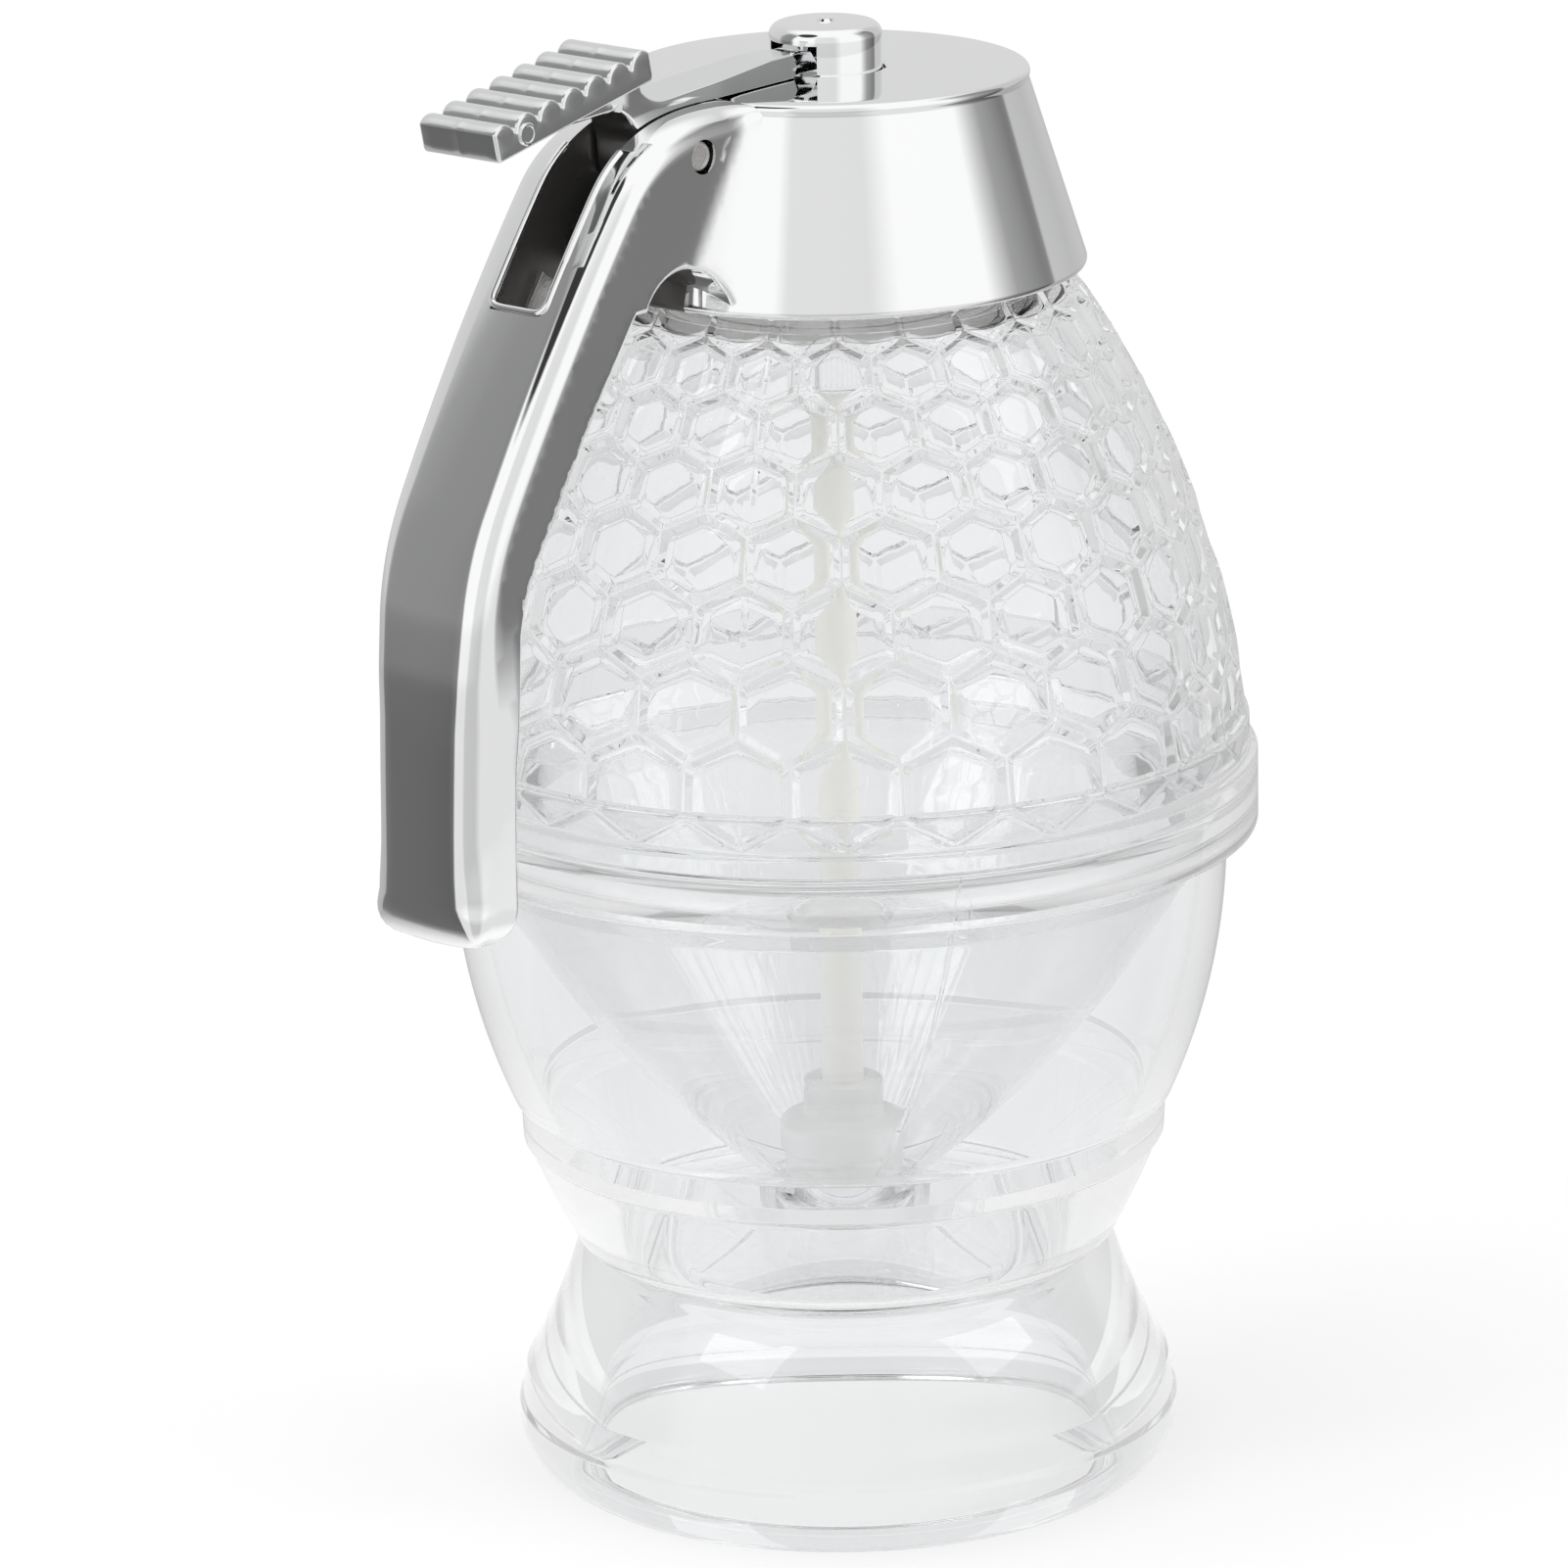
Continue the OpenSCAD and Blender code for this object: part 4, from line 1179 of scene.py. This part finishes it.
    def half(self, out: float, up: float) -> float:
        """Half width at a point of the side view.

        It narrows downwards, flares where the handle grows out of the lid's cone, and is rounded at the tip.

        Args:
            out: Distance from the jar's axis.
            up: Height above the table.

        Returns:
            The half width.
        """
        share = min(1.0, max(0.0, (self.z.lid - up) / 80))
        half = self.width / 2 - share * (self.width - self.tip_width) / 2
        reach = 2.4 + 0.275 * max(0.0, self.z.lid_top - 1.8 - up)
        cone = self.z.lid_r - self.z.cone_slope * (up - self.z.lid)
        away = (out - math.sqrt(cone * cone - half * half)) / reach
        if away < 1:
            half += self.flare_share * reach * (1 - max(away, -0.3)) ** 1.3
        behind = min(math.hypot(out - x, up - z) for x, z, _ in self.face)
        half += self.side_tilt * min(1.0, max(0.0, (108 - up) / 12)) * (behind - 2.6)
        end = up - (self.face[-1][1] - self.tip_length)
        if end < self.tip_corner:
            drop = self.tip_corner - max(0.0, end)
            half -= self.tip_corner - math.sqrt(self.tip_corner**2 - drop * drop)
        return half

    def channel(self) -> bpy.types.Object:
        """Tool for the lever's channel and the window below it."""
        foot = self.at_height(136.2)
        px, pz = self.pivot
        points = [(px - self.channel_r, 157.2), (px - self.channel_r, pz)]
        points += bend(self.pivot, self.channel_r, 180, 262, 10)
        points += [(31.5, 141.3), (34.6, 136.5), (38.2, 132.4), (foot[0] - 2.4, foot[1] - 2.8), foot]
        points += [(foot[0] + 6, foot[1] + 2), (foot[0] + 6, 157.2)]
        return tool_slab("channel_tool", points, self.window_w / 2)

    def at_height(self, height: float) -> Point:
        """Point of the outer face at a height."""
        for (x0, z0, _), (x1, z1, _) in zip(self.face, self.face[1:]):
            if z0 >= height > z1:
                t = (z0 - height) / (z0 - z1)
                return (x0 + t * (x1 - x0), height)
        return self.face[-1][:2]

    def lip_line(self) -> list[Vector]:
        """Line of the lip round the window, down one side, across and up the other."""
        side = self.window_w / 2 + 0.25
        down = [Vector((-x, -side, z)) for x, z, _ in self.face if self.lip_foot + 0.7 < z < 151.5]
        a = next(a for _, z, a in self.face if z < self.lip_foot + 0.7)
        along = Vector((-math.cos(a), 0, -math.sin(a)))
        corner = down[-1]
        across = [corner + along * 0.7 + Vector((0, 0.25, 0)), corner + along * 1.1 + Vector((0, 1.1, 0)),
                  corner + along * 1.15 + Vector((0, side, 0))]
        mirrored = [Vector((p.x, -p.y, p.z)) for p in reversed(down + across[:2])]
        return down + across + mirrored

    def inner_rib(self, side: int) -> bpy.types.Object:
        """A flat rib on one side wall inside the window, in front of its floor."""
        span = [i for i, p in enumerate(self.outer) if 133.9 < p[1] < 141.0]
        front, back = self.inset(3.0), self.inset(5.4)
        outline = dense([front[i] for i in span] + [back[i] for i in reversed(span)], 0.8, closed=True)
        piece = side_slab(f"window_rib_{'left' if side > 0 else 'right'}", outline, lambda x, z: 0.4,
                          lambda x, z: (0.12, 0.12))
        piece.data.transform(Matrix.Translation((0, side * (self.window_w / 2 - 0.35) * MM, 0)))
        return piece


@dataclass
class Lid:
    """Chrome lid in one piece with the handle, and what is fixed to it."""

    z: Heights
    handle: Handle
    top_r: float = 21.4
    wall: float = 1.7
    cap_hole_r: float = 6.25
    pin_r: float = 1.5

    def cone(self, height: float) -> float:
        """Outer radius of the cone at a height."""
        return self.z.lid_r - self.z.cone_slope * (height - self.z.lid)

    def cup_outline(self) -> Outline:
        """Closed outline of the lid without its handle."""
        top, low, plate = self.z.lid_top, self.z.lid, self.z.lid_top - self.wall
        points = [(self.cap_hole_r, plate), (self.cap_hole_r, top - 0.25), (self.cap_hole_r + 0.25, top)]
        points += [(15.0, top), (17.5, top - 0.03), (19.0, top - 0.08)]
        points += bend((self.top_r - 0.65, top - 0.75), 0.65, 86, -35, 10)
        points += [(self.cone(top - 1.4), top - 1.4)]
        points += bend((self.z.lid_r - 0.6, low + 0.6), 0.6, 14, -90, 6)
        points += [(self.cone(low) - 1.8, low), (self.cone(plate - 1) - 1.8, plate - 1)]
        points += [(self.cone(plate) - 2.8, plate)]
        return points

    def shell(self, finishes: dict[str, bpy.types.Material]) -> bpy.types.Object:
        """The lid's cup and handle as one chrome shell with its channel, window and pin holes, and painted
        shade on the walls inside the channel and window.
        """
        handle = self.handle
        outline, name = handle.outline(), "chrome_lid_and_handle"
        body = side_slab(name, outline, handle.half, handle.edge, 1.0, handle.crown)
        low, high = 120, 152.5
        hollow = [(0, low), (self.cone(low) - 1.3, low), (self.cone(high) - 1.3, high), (0, high)]
        inside = turned("inside_tool", hollow, 128)
        body = worked(body, inside, Cut.AWAY)
        body = worked(body, turned("cup", self.cup_outline(), 224, closed=True), Cut.ADD)
        body = worked(body, handle.channel(), Cut.AWAY)
        body = worked(body, side_bar("pin_tool", handle.pivot, self.pin_r + 0.3, 30, 0.01), Cut.AWAY)
        body.data.materials.append(finishes["chrome"])
        body.data.materials.append(finishes["dark_wall"])
        # Faces inside the channel and window, well behind the outer face, take the dark chrome as painted
        # shade.
        half = handle.window_w / 2
        for face in body.data.polygons:
            spot = face.center / MM
            between = abs(spot.y) < half + 0.02 and spot.x < -23.3 and spot.z > 131
            if between and self._inside(-spot.x, spot.z):
                face.material_index = 1
        return body

    def _inside(self, out: float, up: float) -> bool:
        """Whether a point of the side view lies well behind the handle's outer face."""
        return min(math.hypot(out - x, up - z) for x, z, _ in self.handle.face) > 0.5

    def make(self, finishes: dict[str, bpy.types.Material]) -> None:
        """Builds the lid and its fixed pieces and places them."""
        placed(self.shell(finishes), "lid", finishes["chrome"], ["lid"])
        lip = bent_tube("window_lip", self.handle.lip_line(), 0.4, finishes["chrome"])
        placed(lip, "lid", finishes["chrome"], [])
        for side in (-1, 1):
            placed(self.handle.inner_rib(side), "lid", finishes["pin"], [])
        placed(self.liner(), "lid", finishes["ring"], ["lid_liner"])
        placed(self.guide(), "lid", finishes["chrome"], ["rod_guide"])
        placed(self.cover(), "lid", finishes["chrome"], ["handle_cover"])
        pin = side_bar("lever_pivot_pin", self.handle.pivot, self.pin_r, 15.2, 0.2, 0.15)
        placed(pin, "lid", finishes["pin"], ["pivot_pin"])

    def liner(self) -> bpy.types.Object:
        """White threaded ring inside the lid."""
        top = self.z.neck_top + 2.3
        points = [(4.3, top - 1.5), (20.05, top - 1.5), (20.05, self.z.neck_base + 0.4)]
        points += [(21.5, self.z.neck_base + 0.4), (21.5, self.z.neck_top + 0.6), (21.0, top), (4.3, top)]
        return turned("white_threaded_ring", eased(points, 0.3, closed=True), 128, closed=True)

    def guide(self) -> bpy.types.Object:
        """Tube under the lid in which the rod slides."""
        plate = self.z.lid_top - self.wall
        low = plate - 33.6
        points = [(2.31, plate), (8.0, plate), (8.0, plate - 1.8), (4.2, plate - 1.8)]
        points += bend((3.0, low + 1.2), 1.2, 0, -90, 6) + [(2.31, low)]
        return turned("rod_guide_tube", eased(points, 0.3, closed=True), 96, closed=True)

    def cover(self) -> bpy.types.Object:
        """Cover of the hollow grip on the jar's side."""
        low, high = 76.9, 133.0
        back = [p for p in self.handle.inner(0.3) if low < p[1] < high]
        front = [p for p in self.handle.inner(-1.2) if low < p[1] < high]
        outline = dense(eased(front + back[::-1], 0.3, closed=True, least_turn=40), 1.2, closed=True)
        return side_slab("grip_cover", outline, lambda x, z: 4.5, lambda x, z: (0.25, 0.25))


@dataclass
class Lever:
    """Thumb lever, its ribbed pad, the pad's pin and the return spring."""

    z: Heights
    pivot: Point = (28.0, 150.0)
    pad_fall: float = 12.0
    pad_l: float = 23.6
    pad_w: float = 10.6
    ribs: int = 7
    rib_r: float = 1.75
    rib_middle: float = 1.9
    rib_end: float = 1.3
    hub_r: float = 4.2
    hub_w: float = 6.4
    arm_w: float = 4.8
    wire_r: float = 0.4

    def on_pad(self, along: float, up: float = 0.0) -> Point:
        """Point of the side view along the pad's underside and up from it."""
        t = math.radians(self.pad_fall)
        x, z = self.pivot[0] + 4.2, self.z.lid_top + 4.1
        return (x + along * math.cos(t) + up * math.sin(t), z - along * math.sin(t) + up * math.cos(t))

    def pin_place(self) -> Point:
        """Middle of the pad's cross pin."""
        return self.on_pad(self.pad_l * 0.81, 1.55)

    def pad_outline(self) -> Outline:
        """Side view of the pad with its row of round ribs."""
        pitch = (self.pad_l - 2 * self.rib_end) / (self.ribs - 1)
        end = math.degrees(math.acos(self.rib_end / self.rib_r))
        valley = math.degrees(math.acos((pitch / 2 - 0.05) / self.rib_r))
        points = [self.on_pad(0.3), self.on_pad(self.pad_l - 0.2, 0.0), self.on_pad(self.pad_l, 0.4)]
        for k in reversed(range(self.ribs)):
            middle = self.rib_end + k * pitch
            first = end if k == self.ribs - 1 else valley
            last = 180 - (end if k == 0 else valley)
            for along, up in bend((middle, self.rib_middle), self.rib_r, first, last, 10):
                points.append(self.on_pad(along, up))
        points.append(self.on_pad(0.0, 0.6))
        return dense(eased(points, 0.3, closed=True, least_turn=30), 0.8, closed=True)

    def arm_half(self, out: float, up: float) -> float:
        """Half width of the lever at a point of the side view."""
        if out < 7.2:
            return 1.5
        if out > self.pivot[0] + 7:
            return 2.5
        return min(self.hub_w, self.arm_w + (self.hub_w - self.arm_w) * max(0.0, out - 7.2) / 12.8) / 2

    def arm_edge(self, out: float, up: float) -> Point:
        """Depth and width of the lever's rounded edges: tight along the foot of the arm."""
        size = 0.12 if out < self.pivot[0] - 4 and up < self.z.lid_top + 0.9 else 0.4
        return (size, size)

    def lever_outline(self) -> Outline:
        """Side view of the lever: tongue under the cap, arm, hub and pad carrier."""
        px, pz = self.pivot
        base = self.z.lid_top + 0.12
        points = [(2.9, base), (px - 4.5, base), (px - 4.2, base - 0.6), (px - self.hub_r, pz + 1.2)]
        points += bend(self.pivot, self.hub_r, 180, 360, 24)
        points += bend((px + 9.6, pz + 0.4), 5.4, 172, 118, 10)
        points += [self.on_pad(19.1, 0.05), self.on_pad(19.1, 1.6), self.on_pad(0.3, 1.6)]
        points += bend((px + 0.2, pz + 10.4), 5, -45, -88, 10)
        points += [(px - 9.2, base + 1.85), (px - 16.7, base + 2.5), (6.0, base + 2.55), (3.8, base + 2.1)]
        points += [(2.9, base + 1.0)]
        return dense(eased(points, 0.8, closed=True, least_turn=24), 0.9, closed=True)

    def spring_line(self) -> list[Vector]:
        """Centre line of the return spring: a long leg, the coil and the hooked end."""
        px, pz = self.pivot
        coil_r, pitch, turns = 2.25, 1.25, 2
        leg, hook = (px + 16.4, pz - 18.0), (px + 3.6, pz + 4.3)
        leg_d, hook_d = math.dist(leg, self.pivot), math.dist(hook, self.pivot)
        start = math.atan2(leg[1] - pz, leg[0] - px) - math.acos(coil_r / leg_d)
        end = math.atan2(hook[1] - pz, hook[0] - px) + math.acos(coil_r / hook_d)
        sweep = start - end + math.tau * (turns + 1)
        half = pitch * sweep / math.tau / 2
        steps = 48
        coil = []
        for i in range(steps + 1):
            t = start - sweep * i / steps
            across = half * (2 * i / steps - 1)
            coil.append(Vector((px + coil_r * math.cos(t), pz + coil_r * math.sin(t), across)))
        first, last = coil[0], coil[-1]
        foot = Vector((*leg, -half))
        line = [foot.lerp(first, k / 12) for k in range(12)] + coil
        top = Vector((*hook, half))
        line += [last.lerp(top, k) for k in (0.3, 0.6, 0.8)]
        line += [top + Vector((0, 0, 0.5)), top + Vector((0, 0, 1.2)), Vector((*hook, self.hub_w / 2 + 0.9))]
        return [Vector((-p.x, p.z, p.y)) for p in line]

    def make(self, finishes: dict[str, bpy.types.Material]) -> None:
        """Builds the lever's pieces and places them."""
        arm = side_slab("thumb_lever_arm", self.lever_outline(), self.arm_half, self.arm_edge, 1.2)
        placed(arm, "lever", finishes["lever"], ["thumb_lever"])
        pad = side_slab(
            "ribbed_thumb_pad", self.pad_outline(), lambda x, z: self.pad_w / 2,
            lambda x, z: (0.35, 0.35), 1.2, seam=0.015,
        )
        placed(pad, "lever", finishes["lever"], ["thumb_pad"])
        pin = side_bar("pad_cross_pin", self.pin_place(), 1.2, self.pad_w + 0.5, 0.15, 0.1)
        placed(pin, "lever", finishes["lever"], ["pad_pin"])
        spring = bent_tube("lever_return_spring", self.spring_line(), self.wire_r, finishes["wire"])
        placed(spring, "lid", finishes["wire"], ["lever_spring"])


@dataclass
class Valve:
    """Rod with its chrome cap and soft stopper."""

    z: Heights
    rod_r: float = 2.25
    cap_r: float = 5.95
    notch_w: float = 6.4
    stopper_r: float = 6.9
    plug_r: float = 4.65

    def cap(self) -> bpy.types.Object:
        """Chrome cap, with the notch that the lever's tongue lifts it by."""
        low, high = self.z.lid_top - 1.3, self.z.lid_top + 4.7
        points = [(0.0, low), (self.cap_r - 0.3, low), (self.cap_r, low + 0.3)]
        points += bend((self.cap_r - 1.3, high - 1.3), 1.3, 0, 88, 10)
        points += [(0.95, high + 0.1), (0.75, high + 0.35), (0.0, high + 0.4)]
        cap = turned("rod_cap_chrome", points, 96)
        floor, roof, deep, outside = 153.65, 157.3, 2.5, 9.0
        corners = [(deep, floor), (outside, floor), (outside, roof), (deep, roof)]
        notch = tool_slab("notch_tool", corners, self.notch_w / 2)
        return worked(cap, notch, Cut.AWAY)

    def rod(self) -> bpy.types.Object:
        """Pale lift rod with its barb at the lower end."""
        low, high, barb = 30.35, self.z.lid_top - 1.3, self.rod_r + 0.7
        points = [(0.0, low), (barb - 0.3, low), (barb, low + 0.6), (barb, low + 1.3)]
        points += [(self.rod_r, low + 1.5), (self.rod_r, high)]
        points += [(1.6, high), (1.6, high + 3.7), (0.0, high + 4.0)]
        return turned("pale_lift_rod", eased(points, 0.15), 64)

    def stopper(self) -> bpy.types.Object:
        """Frosted stopper: plug, flange and collar round the rod."""
        low, seat = self.z.collar + 0.9, self.z.valve + 0.2
        collar, top = seat + 7.4, seat + 11.2
        points = [(0.0, low)] + bend((self.plug_r - 1.2, low + 1.2), 1.2, -90, 0, 8)
        points += [(self.plug_r, seat), (self.stopper_r - 0.5, seat), (self.stopper_r - 0.5, seat + 3)]
        points += bend((self.stopper_r - 0.8, seat + 4.2), 0.8, -60, 0, 6)
        points += bend((self.stopper_r - 1, collar - 1.2), 1, 0, 70, 8)
        points += [(self.rod_r + 2.05, collar), (self.rod_r + 2.05, top), (self.rod_r + 0.1, top)]
        points += [(self.rod_r + 0.1, 32.0), (3.05, 31.7), (3.05, 30.2), (0.0, 30.2)]
        return turned("frosted_stopper", eased(points, 0.3), 96)

    def make(self, finishes: dict[str, bpy.types.Material]) -> None:
        """Builds the valve's pieces and places them."""
        placed(self.cap(), "valve", finishes["chrome"], ["rod_cap"])
        placed(self.rod(), "valve", finishes["rod"], ["lift_rod"])
        placed(self.stopper(), "valve", finishes["stopper"], ["valve_stopper"])


# ---------- studio ----------


@dataclass
class Studio:
    """Camera, pale floor, soft light and the white room that the chrome and the acrylic show."""

    camera_place: tuple[float, float, float] = (-0.6727113, -0.5979073, 0.329)
    camera_bearing: float = 48.0
    camera_pitch: float = 15.7
    camera_roll: float = -1.07
    focal_px: float = 8898.0
    image_px: float = 1601.0
    floor_r: float = 0.6
    plain_light: float = 0.8
    camera_side: float = 221.6
    low_share: float = 0.12
    low_loss: float = 0.1
    clear_share: float = 0.5
    hood_turn: float = -54.0
    hood_rise: float = 56.0
    hood_r: float = 15.0
    hood_tone: float = 0.04
    ceiling_starts: float = 0.66
    ceiling_full: float = 0.85
    fade_starts: float = 0.05
    fade_full: float = 0.16

    def camera(self) -> None:
        """Camera fitted to the photograph."""
        lens = bpy.data.cameras.new("photo_camera")
        lens.sensor_width = 36.0
        lens.lens = self.focal_px / self.image_px * lens.sensor_width
        lens.clip_end = 50
        holder = in_scene("photo_camera", lens)
        turns = (self.camera_bearing, self.camera_pitch, self.camera_roll)
        bearing, pitch, roll = (math.radians(a) for a in turns)
        flat = Vector((math.sin(bearing), math.cos(bearing), 0))
        ahead = Vector((flat.x * math.cos(pitch), flat.y * math.cos(pitch), -math.sin(pitch)))
        right = Vector((flat.y, -flat.x, 0))
        upward = right.cross(ahead)
        across = right * math.cos(roll) + upward * math.sin(roll)
        over = upward * math.cos(roll) - right * math.sin(roll)
        turn = Matrix((across, over, -ahead)).transposed()
        holder.matrix_world = Matrix.Translation(self.camera_place) @ turn.to_4x4()
        bpy.context.scene.camera = holder

    def world(self) -> None:
        """White room: plain light on matt surfaces, and bright and grey walls in what is glossy or clear."""
        room = bpy.data.worlds.new("white_room")
        bpy.context.scene.world = room
        room.use_nodes = True
        tree = room.node_tree
        tree.nodes.clear()
        direction = tree.nodes.new("ShaderNodeTexCoord").outputs["Generated"]
        way = node(tree, "ShaderNodeSeparateXYZ", {0: direction})
        angle = maths(tree, "ARCTAN2", way.outputs[1], way.outputs[0])
        turn = maths(tree, "ADD", maths(tree, "DIVIDE", angle, math.tau), 0.5)
        ramp = node(tree, "ShaderNodeValToRGB", {0: turn})
        self._walls(ramp.color_ramp)
        low = node(tree, "ShaderNodeMapRange", {"Value": way.outputs[2], "From Min": 0.0, "From Max": -0.2})
        loss = maths(tree, "MULTIPLY_ADD", ramp.outputs[0], self.low_share, self.low_loss)
        walls = maths(tree, "SUBTRACT", ramp.outputs[0], maths(tree, "MULTIPLY", low.outputs[0], loss))
        high = node(tree, "ShaderNodeMapRange", {
            "Value": way.outputs[2], "From Min": self.ceiling_starts, "From Max": self.ceiling_full,
        })
        ceiling = node(tree, "ShaderNodeMix", {0: high.outputs[0], 2: walls, 3: 1.0})
        hooded = self._hood(tree, way)
        hood = node(tree, "ShaderNodeMix", {0: hooded, 2: ceiling.outputs[0], 3: self.hood_tone})
        rays = tree.nodes.new("ShaderNodeLightPath")
        gap = maths(tree, "SUBTRACT", 1.0, ceiling.outputs[0])
        pale = maths(tree, "SUBTRACT", 1.0, maths(tree, "MULTIPLY", self.clear_share, gap))
        shiny = node(tree, "ShaderNodeMix", {
            0: rays.outputs["Is Glossy Ray"], 2: self.plain_light, 3: hood.outputs[0],
        })
        trapped = maths(tree, "GREATER_THAN", rays.outputs["Glossy Depth"], Finish.most_mirrorings)
        inside = maths(tree, "MAXIMUM", rays.outputs["Is Transmission Ray"], trapped)
        plain = node(tree, "ShaderNodeMix", {0: inside, 2: shiny.outputs[0], 3: pale})
        seen = node(tree, "ShaderNodeMix", {0: rays.outputs["Is Camera Ray"], 2: plain.outputs[0], 3: 1.0})
        glow = node(tree, "ShaderNodeBackground", {0: seen.outputs[0], 1: 1.0})
        node(tree, "ShaderNodeOutputWorld", {0: glow.outputs[0]})

    def _hood(self, tree: bpy.types.NodeTree, way: bpy.types.Node) -> bpy.types.NodeSocket:
        """How far a direction lies inside the round dark patch that only chrome shows."""
        turn, rise = (math.radians(a) for a in (self.camera_side + self.hood_turn, self.hood_rise))
        centre = (math.cos(turn) * math.cos(rise), math.sin(turn) * math.cos(rise), math.sin(rise))
        across = [maths(tree, "MULTIPLY", way.outputs[k], centre[k]) for k in range(3)]
        near = maths(tree, "ADD", maths(tree, "ADD", across[0], across[1]), across[2])
        outer, inner = (math.cos(math.radians(self.hood_r + d)) for d in (2, -1))
        span = {"Value": near, "From Min": outer, "From Max": inner}
        return node(tree, "ShaderNodeMapRange", span).outputs[0]

    def _walls(self, ramp: bpy.types.ColorRamp) -> None:
        """Tones of the room's walls by compass angle from +X, turned half way round."""
        tones = [
            (-172, 0.7), (-106, 0.62), (-100, 0.34), (-93, 0.28), (-84, 0.27), (-77, 0.25), (-73, 0.3),
            (-67, 1.0), (-25, 1.0), (-19, 0.78), (18, 0.76), (32, 1.0), (75, 1.0), (84, 0.62),
            (92, 0.36), (112, 0.22), (117, 0.25), (119, 0.58), (140, 0.58), (160, 0.7),
        ]
        stops = sorted((((self.camera_side + angle + 180) / 360) % 1.0, tone) for angle, tone in tones)
        while len(ramp.elements) < len(stops):
            ramp.elements.new(0.5)
        # The places go in twice, because the ramp sorts its stops while they move.
        for element, (spot, _) in zip(ramp.elements, stops):
            element.position = spot
        for element, (spot, tone) in zip(ramp.elements, stops):
            element.position = spot
            element.color = (tone, tone, tone, 1)

    def floor(self) -> None:
        """Pale round floor that fades into the white of the room."""
        bm = bmesh.new()
        bmesh.ops.create_circle(bm, cap_ends=True, segments=96, radius=self.floor_r)
        mesh = bpy.data.meshes.new("pale_floor")
        bm.to_mesh(mesh)
        bm.free()
        plate = in_scene("pale_floor", mesh)
        material = bpy.data.materials.new("pale_floor_paint")
        material.use_nodes = True
        tree = material.node_tree
        tree.nodes.clear()
        paint = node(tree, "ShaderNodeBsdfDiffuse", {0: (0.95, 0.95, 0.95, 1)})
        glow = node(tree, "ShaderNodeEmission", {0: (1, 1, 1, 1), 1: 1.0})
        place = tree.nodes.new("ShaderNodeTexCoord").outputs["Object"]
        reach = node(tree, "ShaderNodeVectorMath", {0: place}, operation="LENGTH")
        span = {"Value": reach.outputs["Value"], "From Min": self.fade_starts, "From Max": self.fade_full}
        fade = node(tree, "ShaderNodeMapRange", span, interpolation_type="SMOOTHSTEP")
        rays = tree.nodes.new("ShaderNodeLightPath")
        clear = node(tree, "ShaderNodeBsdfTransparent")
        seen = maths(tree, "MAXIMUM", rays.outputs["Is Camera Ray"], rays.outputs["Is Transmission Ray"])
        mirrored = maths(tree, "MULTIPLY", fade.outputs[0], rays.outputs["Is Glossy Ray"])
        gone = node(tree, "ShaderNodeMixShader", {0: mirrored, 1: paint.outputs[0], 2: clear.outputs[0]})
        share = maths(tree, "MULTIPLY", fade.outputs[0], seen)
        blend = node(tree, "ShaderNodeMixShader", {0: share, 1: gone.outputs[0], 2: glow.outputs[0]})
        node(tree, "ShaderNodeOutputMaterial", {0: blend.outputs[0]})
        mesh.materials.append(material)

    def lamps(self) -> None:
        """Two large soft lamps, one high on the left and one on the right.

        They are hidden from glossy rays, so the chrome mirrors only the world's own tones.
        """
        for name, place, size, power in (
            ("left_soft_lamp", (-0.9, 0.35, 1.2), 0.9, 7.0),
            ("right_soft_lamp", (0.7, -0.9, 1.1), 0.9, 5.0),
        ):
            lamp = bpy.data.lights.new(name, "AREA")
            lamp.size = size
            lamp.energy = power
            holder = in_scene(name, lamp)
            holder.location = place
            holder.rotation_euler = (Vector((0, 0, 0.08)) - Vector(place)).to_track_quat("-Z", "Y").to_euler()
            holder.visible_glossy = False

    def make(self) -> None:
        """Sets up the whole studio."""
        self.camera()
        self.world()
        self.floor()
        self.lamps()
        bpy.context.scene.view_settings.view_transform = "Standard"


def main() -> None:
    """Builds the studio and the dispenser."""
    logging.basicConfig(level=logging.INFO, format="%(name)s: %(message)s")
    Studio().make()
    finishes = Finishes().build()
    heights = Heights()
    Stand(heights).make(finishes)
    Jar(heights).make(finishes)
    Lid(heights, Handle(heights)).make(finishes)
    Lever(heights).make(finishes)
    Valve(heights).make(finishes)
    for material in list(bpy.data.materials):
        if not material.users:
            bpy.data.materials.remove(material)


if __name__ == "__main__":
    main()
